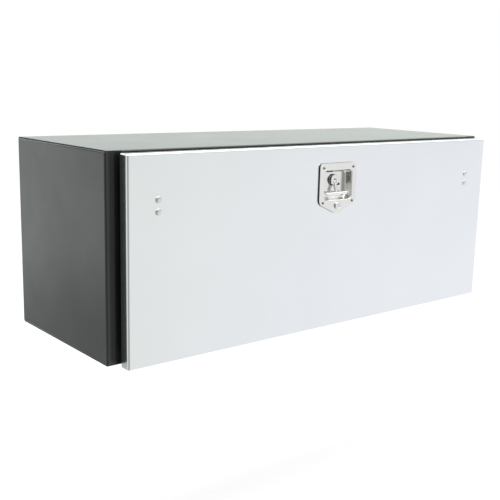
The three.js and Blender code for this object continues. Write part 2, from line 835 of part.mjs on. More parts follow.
function rodBar(x0, x1) {
  return cylinderX(rodDepth, rodHeight, rodRadius, x0, x1, roundSides - arcSteps * 2);
}

function yokeSlot(x, z, reach) {
  const half = camPinRadius + yokeClearance;
  return alongY(roundedRectangle(x - half, z - half - reach, x + half, z + half + reach, half - seatGap),
    rodDepth - yokeSheet - overrun, rodDepth + yokeSheet + overrun);
}

function rodLeft() {
  const pinX = latchX + camPinX;
  const pinZ = hubHeight - (camPinZ + camThrow) / 2;
  const half = camPinRadius + yokeClearance + yokeRise / 2 + yokeRim;
  const inner = latchX - camThrow - camWidth / 2 - yokeRim;
  const x1 = pinX + camPinRadius + yokeClearance + yokeRim;
  const yoke = alongY(roundedRectangle(inner - yokeLap, pinZ - half, x1, pinZ + half, yokeRim),
    rodDepth - yokeSheet / 2, rodDepth + yokeSheet / 2);
  const tip = neckLeft + frameSheet + rodTipGap;
  return rodBar(tip, inner).add(yoke).subtract(yokeSlot(pinX, pinZ, yokeRise / 2));
}

function rodRight() {
  const pinX = latchX - camPinX;
  const pinZ = hubHeight + (camPinZ + camThrow) / 2;
  const half = camPinRadius + yokeClearance + yokeRise / 2 + yokeRim;
  const x0 = pinX - camPinRadius - yokeClearance - yokeRim;
  const riser = latchX + rightYokeOffset;
  const y0 = rodDepth - yokeSheet / 2;
  const y1 = rodDepth + yokeSheet / 2;
  const arm = alongY(roundedRectangle(x0, pinZ - half, riser + rightYokeRiser, pinZ + half, yokeRim), y0, y1);
  const leg = alongY(roundedRectangle(riser, rodHeight - rodRadius - yokeRim / 2, riser + rightYokeRiser,
    pinZ + half, yokeRim), y0, y1);
  const tip = neckRight - frameSheet - rodTipGap;
  return rodBar(riser + rightYokeRiser / 2, tip).add(arm).add(leg).subtract(yokeSlot(pinX, pinZ, yokeRise / 2));
}

function rodGuide() {
  const section = hatSection(skinInside + seatGap + guideSheet, guideDepth - guideSheet, guideChannel,
    guideBrim, guideSheet, guideBend);
  let solid = alongX(section, -guideLength / 2, guideLength / 2);
  for (const side of [1, -1]) {
    solid = solid.subtract(cylinderY(0, side * guideRivetPitch / 2, guideRivet.shank + rivetFit,
      doorFront, skinInside + guideSheet * 3, roundSides / 2));
  }
  return solid;
}

function guideBush() {
  const back = skinInside + guideDepth - guideSheet;
  const half = guideChannel / 2 - guideSheet - seatGap;
  const block = alongY(roundedRectangle(-guideLength / 2, -half, guideLength / 2, half, bushCorner),
    guideBushFront, back);
  return block.subtract(cylinderX(rodDepth, 0, rodRadius + bushFit, -guideLength, guideLength,
    roundSides - arcSteps * 2));
}

// Assembly

const mirrored = (solid) => solid.mirror([1, 0, 0]).translate([bodyLength, 0, 0]);

add('body_wrapper', bodyWrapper(), blackCoat);
add('end_panel_left', endPanel(), blackCoat);
add('end_panel_right', mirrored(endPanel()), blackCoat);
add('door_frame', doorFrame(), blackCoat);
add('door_seal', doorSeal(), blackRubber);
add('striker_left', striker(), zincSteel);
add('striker_right', mirrored(striker()), zincSteel);

const bodyAnchor = anchor(frameBack + seatGap, bodyEarReach, anchorInset, true);
const doorAnchor = anchor(skinInside + seatGap, doorEarReach, neckLeft + doorAnchorInset, false);
add('cable_anchor_body_left', bodyAnchor, zincSteel);
add('cable_anchor_body_right', mirrored(bodyAnchor), zincSteel);
add('cable_anchor_door_left', doorAnchor, zincSteel);
add('cable_anchor_door_right', mirrored(doorAnchor), zincSteel);

add('hinge_body_leaf', hingeBodyLeaf(), brushedSteel);
add('hinge_door_leaf', hingeDoorLeaf(), brushedSteel);
add('hinge_pin', cylinderX(hingeY, hingeZ, pinRadius, hingeLeft, hingeLeft + hingeLength, roundSides - arcSteps * 2),
  brushedSteel);

add('door_pan', doorPan(), polishedSteel);
add('door_stiffener_lower', doorStiffener(), zincSteel, 0, 0, hatHeights[0]);
add('door_stiffener_middle', doorStiffener(), zincSteel, 0, 0, hatHeights[1]);

add('latch_gasket', latchGasket(), blackRubber);
add('latch_plate', latchPlate(), brushedSteel);
plateRivetPlaces.forEach(([x, z], i) => {
  add(`plate_rivet_${i + 1}`, rivet(plateRivet), brushedSteel, x, plateFront - seatGap, z);
});
guideRivetPlaces.forEach(([x, z], i) => {
  add(`guide_rivet_${i + 1}`, rivet(guideRivet), brushedSteel, x, doorFront - seatGap, z);
});

add('latch_hub', latchHub(), brushedSteel);
add('t_handle', tHandle(), polishedSteel);
add('handle_pin', handlePin(), brushedSteel);
add('spindle', spindle(), zincSteel);
add('spindle_bush', spindleBush(), zincSteel);
add('cam_plate', camPlate(), zincSteel);
add('spindle_nut', spindleNut(), zincSteel);
add('lock_cylinder', lockCylinder(), brushedSteel, latchX, 0, lockHeight);
add('key_plug', keyPlug(), polishedSteel, latchX, 0, lockHeight);
add('lock_pawl', lockPawl(), zincSteel, latchX, 0, lockHeight);
add('lock_nut', lockNut(), zincSteel, latchX, 0, lockHeight);

add('rod_left', rodLeft(), zincSteel);
add('rod_right', rodRight(), zincSteel);
for (const [side, x] of [['left', guidePlaceLeft], ['right', guidePlaceRight]]) {
  add(`rod_guide_${side}`, rodGuide(), zincSteel, x, 0, rodHeight);
  add(`guide_bush_${side}`, guideBush(), nylon, x, 0, rodHeight);
}

// The origin is the centre of the whole box's base
assembly.position.set(-bodyLength / 2, -(lockFace + bodyDepth) / 2, doorDrop);

const toolBox = new THREE.Group();
toolBox.add(assembly);

export default toolBox;
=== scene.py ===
# %% [markdown]
# # A long steel tool box with a drop-down door
# This lesson dresses a working model of a tool box: a black coated steel body, a polished
# stainless door, a recessed T-handle latch and a key lock. The working model is loaded first. It
# gives the place and the size of every part, so each new piece is built where the model says,
# in metres, and then replaces the plain part that it stands for.

# %% Load the working model
import json
from math import asin, atan2, cos, degrees, pi, radians, sin

import bmesh
import bpy
from bmesh.types import BMEdge, BMFace, BMVert
from mathutils import Matrix, Vector


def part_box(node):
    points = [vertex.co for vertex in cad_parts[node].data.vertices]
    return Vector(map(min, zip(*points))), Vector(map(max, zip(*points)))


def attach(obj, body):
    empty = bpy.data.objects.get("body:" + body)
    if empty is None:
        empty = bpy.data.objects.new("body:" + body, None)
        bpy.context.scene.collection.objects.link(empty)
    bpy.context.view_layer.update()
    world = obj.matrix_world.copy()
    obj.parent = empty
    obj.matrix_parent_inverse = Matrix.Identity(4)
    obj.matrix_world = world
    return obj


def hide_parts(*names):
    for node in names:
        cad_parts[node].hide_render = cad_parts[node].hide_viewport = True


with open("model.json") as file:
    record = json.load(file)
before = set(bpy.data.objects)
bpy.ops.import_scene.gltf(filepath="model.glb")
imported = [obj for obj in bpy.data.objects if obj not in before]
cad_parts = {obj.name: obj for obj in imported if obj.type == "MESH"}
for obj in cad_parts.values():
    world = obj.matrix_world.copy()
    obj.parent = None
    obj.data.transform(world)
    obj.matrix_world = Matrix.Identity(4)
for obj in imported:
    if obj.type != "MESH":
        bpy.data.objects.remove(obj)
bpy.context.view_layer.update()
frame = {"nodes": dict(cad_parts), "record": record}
MM = 0.001

# %% [markdown]
# ## The camera
# The photograph was taken with a short telephoto lens from the front left, a little above the top
# of the box. Place, turn and focal length were solved from the straight edges of the body and the
# door, so the box falls on the same pixels as in the photograph.

# %% Camera
camera_data = bpy.data.cameras.new("camera")
camera_data.sensor_width = 36
camera_data.lens = 60.126
camera_data.clip_end = 60
camera = bpy.data.objects.new("camera", camera_data)
camera.location = (-1.4405, -1.6741, 0.6099)
camera.rotation_euler = (radians(78.3998), radians(-1.3182), radians(-38.9268))
bpy.context.scene.collection.objects.link(camera)
bpy.context.scene.camera = camera
print("camera at", tuple(camera.location))

# %% [markdown]
# ## Finishes
# Every finish is a small node tree that reads Object coordinates, so a pattern stays on its piece
# when the piece moves. One helper lays a noise over the surface and returns it; stretching the
# coordinates turns the same noise into brushed grain. Values that are the same all over go
# straight onto the shader's sockets.

# %% Helpers for finishes
def feed(tree, node, inputs):
    """Links each input that is given a socket, and sets each one that is given a value."""
    for key, value in inputs.items():
        if isinstance(value, bpy.types.NodeSocket):
            tree.links.new(value, node.inputs[key])
        else:
            node.inputs[key].default_value = value
    return node


def add_node(tree, kind, inputs, **settings):
    """A new shader node, with its settings made first and its inputs fed after them."""
    node = tree.nodes.new("ShaderNode" + kind)
    for name, value in settings.items():
        setattr(node, name, value)
    return feed(tree, node, inputs)


def new_finish(name, color, inputs):
    """A material with its shader's constant values set; returns material, tree and shader."""
    material = bpy.data.materials.new(name)
    material.use_nodes = True
    tree = material.node_tree
    shader = feed(tree, tree.nodes["Principled BSDF"], {"Base Color": (*color, 1), **inputs})
    return material, tree, shader


def noise(tree, scale, detail, stretch=(1, 1, 1)):
    """Noise over the object's own coordinates, stretched where the finish has a grain."""
    place = add_node(tree, "TexCoord", {}).outputs["Object"]
    vector = add_node(tree, "Mapping", {"Vector": place, "Scale": stretch}).outputs["Vector"]
    return add_node(tree, "TexNoise", {"Vector": vector, "Scale": scale, "Detail": detail}).outputs["Fac"]


def spread(tree, value, low, high, start=0.3, end=0.7, curve="LINEAR"):
    """Turns a value between start and end into one between low and high."""
    limits = {"From Min": start, "From Max": end, "To Min": low, "To Max": high}
    return add_node(tree, "MapRange", {"Value": value, **limits}, interpolation_type=curve).outputs["Result"]


def blend(tree, share, first, second):
    """Mixes two colours, each a triple or a socket."""
    first, second = [(*color, 1) if isinstance(color, tuple) else color for color in (first, second)]
    inputs = {"Factor": share, "A": first, "B": second}
    return add_node(tree, "Mix", inputs, data_type="RGBA").outputs["Result"]


def part_of(tree, vector, axis):
    """One coordinate of a vector."""
    return add_node(tree, "SeparateXYZ", {0: vector}).outputs[axis]


def bump(tree, shader, value, height, strength, below=None):
    """Adds relief of a real height in metres; below is an earlier relief that this one lies on."""
    inputs = {"Distance": height, "Strength": strength, "Height": value}
    if below is not None:
        inputs["Normal"] = below
    relief = add_node(tree, "Bump", inputs).outputs["Normal"]
    feed(tree, shader, {"Normal": relief})
    return relief


# %% [markdown]
# The body has a thick black coat that flowed out smooth and glossy, with the faint orange peel
# that such coats keep. A clear coat over the black gives the strong shine that the top shows when
# it is seen from low down. A slow noise dulls it here and there, as handling does. On the cut
# edges at the wrapper's two ends the clear coat is taken away, so that they lose that shine: this
# is a painted shade line, the dark line between side and top. The edge is found by its distance
# from the box's middle.

# %% Black coat
CUT_EDGE = 0.4 * MM


def make_black_coat():
    look = {"Roughness": 0.4, "Coat Weight": 1.0, "Coat Roughness": 0.13, "Coat IOR": 1.42,
            "Specular IOR Level": 0.3}
    material, tree, shader = new_finish("black_coat", (0.012, 0.0130, 0.0125), look)
    peel = bump(tree, shader, noise(tree, 420, 2), 0.03 * MM, 0.5)
    slow = bump(tree, shader, noise(tree, 3.2, 1), 0.9 * MM, 0.25, peel)
    # The wrapper's end edges lose the clear coat: a painted shade line between side and top.
    across = part_of(tree, add_node(tree, "TexCoord", {}).outputs["Object"], "X")
    outward = add_node(tree, "Math", {0: across}, operation="ABSOLUTE").outputs[0]
    wrapper_end = {0: outward, 1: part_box("body_wrapper")[1].x, 2: CUT_EDGE}
    painted_shade_line = add_node(tree, "Math", wrapper_end, operation="COMPARE").outputs[0]
    feed(tree, shader, {
        "Base Color": blend(tree, noise(tree, 6, 6), (0.0105, 0.0111, 0.0109), (0.0165, 0.0174, 0.0170)),
        "Roughness": spread(tree, noise(tree, 9, 5), 0.32, 0.48),
        "Coat Weight": spread(tree, painted_shade_line, 1.0, 0.0, start=0, end=1),
        "Coat Normal": slow,
    })
    return material


finishes = {"black_coat": make_black_coat()}
print("finishes:", *finishes)

# %% [markdown]
# The door is polished stainless sheet. Polishing leaves hair-fine lines along the sheet, and the
# thin skin is never quite flat, so its reflections drift slowly. Both are relief on the mesh: a
# long stretched noise for the lines, and a very slow one for the waviness. The latch plate has
# finer brushed lines and lies flat, and the small rivets in it have gone dull.

# %% Polished and brushed stainless, rivets
def make_steel(name, light, dark, smooth, rough, grain, wave=0.0):
    material, tree, shader = new_finish(name, light, {"Metallic": 1.0, "Roughness": smooth})
    lines = noise(tree, 60, 6, grain)
    feed(tree, shader, {
        "Base Color": blend(tree, spread(tree, noise(tree, 5, 5), 0, 1), dark, light),
        "Roughness": spread(tree, lines, smooth, rough),
    })
    relief = bump(tree, shader, lines, 0.02 * MM, 0.35)
    if wave:
        bump(tree, shader, noise(tree, 2.4, 1), wave, 0.3, relief)
    return material


steels = {  # light tint, dark tint, lowest and highest roughness, stretch of the grain, waviness
    "polished_stainless": ((0.82, 0.85, 0.87), (0.80, 0.83, 0.845), 0.16, 0.24, (1, 30, 60), 1.1 * MM),
    "brushed_stainless": ((0.80, 0.805, 0.78), (0.75, 0.755, 0.73), 0.15, 0.22, (2, 40, 80)),
    "rivet_steel": ((0.80, 0.80, 0.79), (0.70, 0.70, 0.68), 0.2, 0.3, (20, 20, 20)),
    "dull_rivet": ((0.30, 0.30, 0.29), (0.18, 0.18, 0.18), 0.35, 0.5, (20, 20, 20)),
}
for name, look in steels.items():
    finishes[name] = make_steel(name, *look)
print("steels:", *steels)

# %% [markdown]
# Inside, the fittings are zinc plated: a bright metal with cloudy spangle. The seal and the gasket
# are black rubber, which is matt with a bloom, and the rod bushes are milky nylon.

# %% Zinc, rubber and nylon
def make_zinc():
    look = {"Metallic": 1.0, "Roughness": 0.4}
    material, tree, shader = new_finish("zinc_steel", (0.6, 0.61, 0.63), look)
    cloud = spread(tree, noise(tree, 55, 3), 0, 1)
    feed(tree, shader, {"Base Color": blend(tree, cloud, (0.50, 0.52, 0.55), (0.68, 0.68, 0.66)),
                        "Roughness": spread(tree, noise(tree, 90, 4), 0.28, 0.5)})
    bump(tree, shader, noise(tree, 300, 3), 0.03 * MM, 0.4)
    return material


def make_rubber():
    material, tree, shader = new_finish("black_rubber", (0.016, 0.016, 0.016), {"Roughness": 0.6})
    bloom = noise(tree, 40, 5)
    feed(tree, shader, {"Base Color": blend(tree, bloom, (0.010, 0.010, 0.010), (0.024, 0.024, 0.023)),
                        "Roughness": spread(tree, noise(tree, 70, 4), 0.55, 0.75)})
    bump(tree, shader, noise(tree, 900, 2), 0.05 * MM, 0.4)
    return material


def make_nylon():
    look = {"Roughness": 0.5, "Subsurface Weight": 0.15, "Subsurface Scale": 2 * MM}
    material, tree, shader = new_finish("nylon", (0.78, 0.76, 0.68), look)
    milk = blend(tree, noise(tree, 80, 3), (0.72, 0.70, 0.61), (0.82, 0.80, 0.73))
    feed(tree, shader, {"Base Color": milk})
    bump(tree, shader, noise(tree, 500, 2), 0.03 * MM, 0.3)
    return material


finishes.update(zinc_steel=make_zinc(), black_rubber=make_rubber(), nylon=make_nylon())
slot_of_node = {row["node"]: row["material_slot"] for row in frame["record"]["subparts"]}
for node_name, node in frame["nodes"].items():
    node.data.materials.clear()
    node.data.materials.append(finishes[slot_of_node[node_name]])
print("finishes:", *finishes)

# %% [markdown]
# ## Helpers for pieces
# A sheet-metal box is made of few kinds of form: sheets folded along lines, rings that run round
# the opening, and turned parts. Each kind gets one helper built on bmesh operators. The first
# helper turns a finished bmesh into an object: it shades it smoothly except at real corners, rides
# it on its body, and hides the plain parts that it replaces.

# %% Finish a piece
SHARP_ANGLE = radians(32)
ON_PLANE = 0.001 * MM
MERGED = 0.002 * MM
TOUCHING = 0.01 * MM


def add_piece(name, bm, body, slot, *replaced, finish=None):
    """Makes the bmesh an object that moves with its body and stands for the replaced parts."""
    bmesh.ops.remove_doubles(bm, verts=bm.verts[:], dist=MERGED)
    for face in bm.faces:
        face.smooth = True
    for edge in bm.edges:
        edge.smooth = edge.calc_face_angle(pi) < SHARP_ANGLE
    mesh = bpy.data.meshes.new(name)
    bm.to_mesh(mesh)
    bm.free()
    mesh.materials.append(finishes[finish or slot])
    piece = bpy.data.objects.new(name, mesh)
    bpy.context.scene.collection.objects.link(piece)
    shading = piece.modifiers.new("even shading", "WEIGHTED_NORMAL")
    shading.keep_sharp = True
    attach(piece, body)
    if replaced:
        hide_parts(*replaced)
    print(f"{name}: {len(mesh.polygons)} faces")


# %% Draw, cut and fold
def middle_of(node):
    """The middle of a part's box."""
    low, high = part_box(node)
    return (low + high) / 2


def made(result, kind):
    """The vertices, edges or faces among the geometry that an operator made."""
    return [g for g in result["geom"] if isinstance(g, kind)]


def polyline(bm, points, closed=False):
    """Vertices and edges through points; returns the edges."""
    verts = [bm.verts.new(point) for point in points]
    pairs = list(zip(verts, verts[1:]))
    if closed:
        pairs.append((verts[-1], verts[0]))
    return [bm.edges.new(pair) for pair in pairs]


def draw_edges(bm, edges, step):
    """Extrudes edges by a step."""
    drawn = bmesh.ops.extrude_edge_only(bm, edges=edges)
    bmesh.ops.translate(bm, verts=made(drawn, BMVert), vec=step)
    return drawn


def draw_faces(bm, faces, step, keep=False):
    """Extrudes faces by a step; the first faces are kept where they are the other side."""
    drawn = bmesh.ops.extrude_face_region(bm, geom=faces)
    if not keep:
        bmesh.ops.delete(bm, geom=faces, context="FACES")
    bmesh.ops.translate(bm, verts=made(drawn, BMVert), vec=step)


def cut_across(bm, axis, *places):
    """Cuts every face by the planes where axis has these values."""
    normal = Vector([float(i == axis) for i in range(3)])
    for place in places:
        everything = bm.verts[:] + bm.edges[:] + bm.faces[:]
        bmesh.ops.bisect_plane(bm, geom=everything, dist=ON_PLANE, plane_co=normal * place,
                               plane_no=normal)


def drop_faces(bm, unwanted):
    """Deletes the faces whose centre answers the test."""
    faces = [f for f in bm.faces if unwanted(f.calc_center_median())]
    bmesh.ops.delete(bm, geom=faces, context="FACES")


def give_wall(bm, wall, facing):
    """Gives an open skin its wall, on the side away from the direction that it faces."""
    bmesh.ops.recalc_face_normals(bm, faces=bm.faces[:])
    outermost = max(bm.faces, key=lambda f: f.calc_center_median().dot(Vector(facing)))
    if outermost.normal.dot(Vector(facing)) < 0:
        bmesh.ops.reverse_faces(bm, faces=bm.faces[:])
    bmesh.ops.solidify(bm, geom=bm.faces[:], thickness=wall)


def add_part(bm, part):
    """Moves another bmesh's geometry into this one."""
    carrier = bpy.data.meshes.new("carrier")
    part.to_mesh(carrier)
    part.free()
    bm.from_mesh(carrier)
    bpy.data.meshes.remove(carrier)


def soften(bm, corners, radius, segments=4, affect="EDGES"):
    """Rounds edges, or the corners of an outline."""
    bmesh.ops.bevel(bm, geom=corners, offset=radius, segments=segments, profile=0.5,
                    affect=affect, material=-1)


def block(size, centre=(0, 0, 0)):
    """A cube scaled to a block."""
    bm = bmesh.new()
    bmesh.ops.create_cube(bm, size=1)
    bm.transform(Matrix.Translation(centre) @ Matrix.Diagonal((*size, 1)))
    return bm


def folded_skin(path, low_x, high_x, bend):
    """The outer skin of a folded sheet: (y, z) points carried along x, with each fold rounded."""
    bm = bmesh.new()
    edges = polyline(bm, [(low_x, y, z) for y, z in path])
    draw_edges(bm, edges, (high_x - low_x, 0, 0))
    soften(bm, [e for e in bm.edges if len(e.link_faces) == 2], bend, 6)
    return bm


# %% Turned pieces
def turned(profile, centre, steps=40, axis=1):
    """Spins a (radius, along) profile about a line through centre; axis 1 is y and 0 is x."""
    bm = bmesh.new()
    x, y, z = centre
    points = [(x, y + along, z + radius) if axis else (x + along, y, z + radius)
              for radius, along in profile]
    edges = polyline(bm, points)
    bmesh.ops.spin(bm, geom=bm.verts[:] + edges, cent=centre, axis=(0, 1, 0) if axis else (1, 0, 0),
                   angle=2 * pi, steps=steps, use_merge=True)
    bmesh.ops.remove_doubles(bm, verts=bm.verts[:], dist=MERGED)
    bmesh.ops.recalc_face_normals(bm, faces=bm.faces[:])
    return bm


def quarter(centre_r, centre_a, radius, start, end, steps=5):
    """Points of an arc in a (radius, along) profile, between two angles in degrees."""
    angles = [radians(start + (end - start) * i / steps) for i in range(steps + 1)]
    return [(centre_r + radius * cos(a), centre_a + radius * sin(a)) for a in angles]


def bar(radius, start, end, chamfer):
    """Profile of a solid bar with chamfered ends."""
    return [(0, start), (radius - chamfer, start), (radius, start + chamfer),
            (radius, end - chamfer), (radius - chamfer, end), (0, end)]


def round_ended(half, radius, steps):
    """Profile of a bar with round ends, from the middle half to each side."""
    end = quarter(0, half - radius, radius, 0, 90, steps)
    return [(r, -a) for r, a in reversed(end)] + end


# %% [markdown]
# A ring round the opening is a closed section that is drawn along a side, spun a quarter turn
# about the corner, and drawn on again. Spin and extrude do it in nine moves, and the last one
# meets the first.

# %% Rings round the opening
ACROSS = 1e-9


def ring(section, low_x, low_z, high_x, high_z, corner, steps=8):
    """Carries a closed (outward, y) section once round a rounded rectangle."""
    bm = bmesh.new()
    middle = (low_x + high_x) / 2
    loop = polyline(bm, [(middle, y, low_z - out) for out, y in section], closed=True)
    inner_x = high_x - low_x - 2 * corner
    inner_z = high_z - low_z - 2 * corner
    moves = [
        ((inner_x / 2, 0, 0), (high_x - corner, low_z + corner)),
        ((0, 0, inner_z), (high_x - corner, high_z - corner)),
        ((-inner_x, 0, 0), (low_x + corner, high_z - corner)),
        ((0, 0, -inner_z), (low_x + corner, low_z + corner)),
    ]
    for step, (centre_x, centre_z) in moves:
        drawn = draw_edges(bm, loop, step)
        loop = [e for e in made(drawn, BMEdge)
                if abs((e.verts[0].co - e.verts[1].co).dot(Vector(step))) < ACROSS]
        verts = list({v for e in loop for v in e.verts})
        spun = bmesh.ops.spin(bm, geom=verts + loop, cent=(centre_x, 0, centre_z), axis=(0, 1, 0),
                              angle=-pi / 2, steps=steps)
        loop = [g for g in spun["geom_last"] if isinstance(g, BMEdge)]
    draw_edges(bm, loop, (inner_x / 2, 0, 0))
    bmesh.ops.remove_doubles(bm, verts=bm.verts[:], dist=TOUCHING)
    bmesh.ops.recalc_face_normals(bm, faces=bm.faces[:])
    return bm


# %% [markdown]
# ## The body
# The real body is one sheet folded round top, back and floor, with short flanges turned in at the
# front, closed by two end trays. The sheet is folded first and its front flanges are then cut
# away at both ends, where the trays' uprights stand.

# %% Body sheet
BODY_SHEET = 2 * MM
BODY_BEND = 4 * MM
FLANGE = 21.7 * MM
FRAME_FLANGE = 16 * MM

wrap_low, wrap_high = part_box("body_wrapper")
frame_low, frame_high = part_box("door_frame")
neck_left = frame_low.x + FRAME_FLANGE
neck_right = frame_high.x - FRAME_FLANGE
neck_bottom = frame_low.z + FRAME_FLANGE
neck_top = frame_high.z - FRAME_FLANGE


def make_body_sheet():
    path = [
        (wrap_low.y, wrap_low.z + FLANGE), (wrap_low.y, wrap_low.z), (wrap_high.y, wrap_low.z),
        (wrap_high.y, wrap_high.z), (wrap_low.y, wrap_high.z), (wrap_low.y, wrap_high.z - FLANGE),
    ]
    bm = folded_skin(path, wrap_low.x, wrap_high.x, BODY_BEND)
    cut_across(bm, 0, neck_left, neck_right)
    front = wrap_low.y + 0.3 * BODY_BEND
    drop_faces(bm, lambda c: not neck_left < c.x < neck_right and c.y < front)
    give_wall(bm, BODY_SHEET, (0, 1, 0))
    return bm


add_piece("body_sheet", make_body_sheet(), "box", "black_coat", "body_wrapper")

# %% [markdown]
# Each end is a shallow tray: a flat panel with its four sides turned in. A cube loses its inner
# face, the four outer edges are rounded, and the top, back and floor sides are trimmed shorter
# than the upright at the front.

# %% End trays
TRAY_FLANGE = 20 * MM


def make_end_tray(node, outer_x, inner_x):
    low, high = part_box(node)
    bm = block(high - low, (low + high) / 2)
    drop_faces(bm, lambda c: abs(c.x - inner_x) < BODY_SHEET)
    rim = [e for e in bm.edges if all(abs(v.co.x - outer_x) < BODY_SHEET for v in e.verts)]
    soften(bm, rim, BODY_BEND, 6)
    inward = 1 if inner_x > outer_x else -1
    cut_across(bm, 0, outer_x + inward * TRAY_FLANGE)
    drop_faces(bm, lambda c: (c.x - outer_x) * inward > TRAY_FLANGE and c.y > low.y + BODY_SHEET)
    give_wall(bm, BODY_SHEET, (-inward, 0, 0))
    return bm


for side, outer, inner in (("left", 0, 1), ("right", 1, 0)):
    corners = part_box(f"end_panel_{side}")
    tray = make_end_tray(f"end_panel_{side}", corners[outer].x, corners[inner].x)
    add_piece(f"end_tray_{side}", tray, "box", "black_coat", f"end_panel_{side}")

# %% [markdown]
# Behind the door a welded neck stands out of the body and carries the seal. Its section is an
# angle, and the seal's section is a channel with a bulb on its front. Both are rings.

# %% Neck and seal
FRAME_SHEET = 2 * MM
NECK_CORNER = 6 * MM
GAP = 0.3 * MM
SEAL_WALL = 1.5 * MM
BULB_OVERLAP = 1 * MM

neck_front = frame_low.y
neck_back = frame_high.y
seal_low, seal_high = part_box("door_seal")


def round_opening(section):
    """A ring that runs round the neck."""
    return ring(section, neck_left, neck_bottom, neck_right, neck_top, NECK_CORNER)


def seal_section():
    outside = GAP + SEAL_WALL
    inside = -(FRAME_SHEET + GAP + SEAL_WALL)
    grip_front = neck_front - GAP - SEAL_WALL
    bulb_back = grip_front + BULB_OVERLAP
    bulb_radius = (bulb_back - seal_low.y) / 2
    bulb_y = (bulb_back + seal_low.y) / 2
    lift = degrees(asin((grip_front - bulb_y) / bulb_radius))
    bulb = quarter(-FRAME_SHEET / 2, bulb_y, bulb_radius, lift, -180 - lift, 20)
    return [
        (outside, seal_high.y), *bulb, (inside, seal_high.y), (-FRAME_SHEET - GAP, seal_high.y),
        (-FRAME_SHEET - GAP, neck_front - GAP), (GAP, neck_front - GAP), (GAP, seal_high.y),
    ]


neck_section = [
    (0, neck_front), (0, neck_back - FRAME_SHEET), (FRAME_FLANGE, neck_back - FRAME_SHEET),
    (FRAME_FLANGE, neck_back), (-FRAME_SHEET, neck_back), (-FRAME_SHEET, neck_front),
]
add_piece("neck", round_opening(neck_section), "box", "black_coat", "door_frame")
add_piece("bulb_seal", round_opening(seal_section()), "box", "black_rubber", "door_seal")

# %% [markdown]
# ## The door
# The door is a pan: a cube without its back face, rounded along the front edges, with the opening
# for the latch cut out of its face before the sheet gets its thickness.

# %% Door skin
DOOR_SHEET = 1.5 * MM
DOOR_EDGE = 5 * MM
DISH_WALL = 1.5 * MM
HUB_RADIUS = 13.5 * MM
DISH_HALF_WIDTH = 46.5 * MM
DISH_ABOVE = 25.5 * MM
DISH_BELOW = 47 * MM
CUTOUT_GROWTH = DISH_WALL + 0.8 * MM

door_low, door_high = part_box("door_pan")
plate_low, plate_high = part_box("latch_plate")
hub_low, hub_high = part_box("latch_hub")
latch_x = (plate_low.x + plate_high.x) / 2
hub_z = hub_high.z - HUB_RADIUS
hole_x = (latch_x - DISH_HALF_WIDTH - CUTOUT_GROWTH, latch_x + DISH_HALF_WIDTH + CUTOUT_GROWTH)
hole_z = (hub_z - DISH_BELOW - CUTOUT_GROWTH, hub_z + DISH_ABOVE + CUTOUT_GROWTH)


def make_door_skin():
    bm = block(door_high - door_low, (door_low + door_high) / 2)
    drop_faces(bm, lambda c: abs(c.y - door_high.y) < DOOR_SHEET)
    rim = [e for e in bm.edges if len(e.link_faces) == 2]
    soften(bm, rim, DOOR_EDGE, 8)
    cut_across(bm, 0, *hole_x)
    cut_across(bm, 2, *hole_z)
    drop_faces(bm, lambda c: hole_x[0] < c.x < hole_x[1] and hole_z[0] < c.z < hole_z[1]
               and c.y < door_low.y + DOOR_SHEET)
    give_wall(bm, DOOR_SHEET, (0, -1, 0))
    return bm


add_piece("door_skin", make_door_skin(), "door", "polished_stainless", "door_pan")

# %% [markdown]
# ## The latch
# The latch plate is one pressing: a flat five-sided plate with a well. Two outlines with rounded
# corners are bridged to make the flat, and the well is the inner outline extruded in small steps
# that follow the lip, the sloping wall and the fillet. A slot is cut through its flat bottom, and
# the skin then gets its thickness.

# %% Outlines, slot and well
PLATE_CORNER = 10 * MM
DISH_CORNER = 7 * MM
LIP = 2.2 * MM
FLOOR_FILLET = 3 * MM
DISH_DRAFT = 4 * MM
SHOULDER_BELOW_HUB = 55.5 * MM
DISH_DEPTH = 19 * MM
SLOT_RIGHT = 18 * MM
SLOT_BELOW = 11.2 * MM
SLOT_WIDTH = 11 * MM
SLOT_HEIGHT = 5.6 * MM
SLOT_CLIP = 1.1 * MM


def rounded_outline(bm, points, radius):
    """A flat outline with its corners rounded; returns its edges."""
    face = bm.faces.new([bm.verts.new(point) for point in points])
    soften(bm, list(face.verts), radius, 8, "VERTICES")
    bm.faces.ensure_lookup_table()
    edges = list(bm.faces[0].edges)
    bmesh.ops.delete(bm, geom=[bm.faces[0]], context="FACES_ONLY")
    return edges


def cut_slot(bm, bottom, x, z):
    """Cuts a slot with clipped corners through the well's flat bottom."""
    half_width = SLOT_WIDTH / 2
    half_height = SLOT_HEIGHT / 2
    planes = [((x + sx * half_width, 0, z), (sx, 0, 0)) for sx in (-1, 1)]
    planes += [((x, 0, z + sz * half_height), (0, 0, sz)) for sz in (-1, 1)]
    planes += [((x + sx * (half_width - SLOT_CLIP), 0, z + sz * half_height), (sx, 0, sz))
               for sx in (-1, 1) for sz in (-1, 1)]
    piece = bottom
    for point, normal in planes:
        geometry = [piece] + list(piece.edges) + list(piece.verts)
        cut = bmesh.ops.bisect_plane(bm, geom=geometry, dist=ON_PLANE, plane_co=point,
                                     plane_no=normal)
        piece = min(made(cut, BMFace),
                    key=lambda f: (f.calc_center_median() - Vector(point)).dot(Vector(normal)))
    bmesh.ops.delete(bm, geom=[piece], context="FACES")


def well_steps():
    """How far in and how deep each step of the well lies: lip, sloping wall, fillet."""
    wall_end = DISH_DEPTH - FLOOR_FILLET
    lip = [radians(15 * i) for i in range(1, 7)]
    fillet = [radians(18 * i) for i in range(1, 6)]
    return [
        *[(LIP * sin(a), LIP * (1 - cos(a))) for a in lip],
        (LIP + DISH_DRAFT * wall_end / DISH_DEPTH, wall_end),
        *[(LIP + DISH_DRAFT + FLOOR_FILLET * (1 - cos(a)), wall_end + FLOOR_FILLET * sin(a)) for a in fillet],
    ]


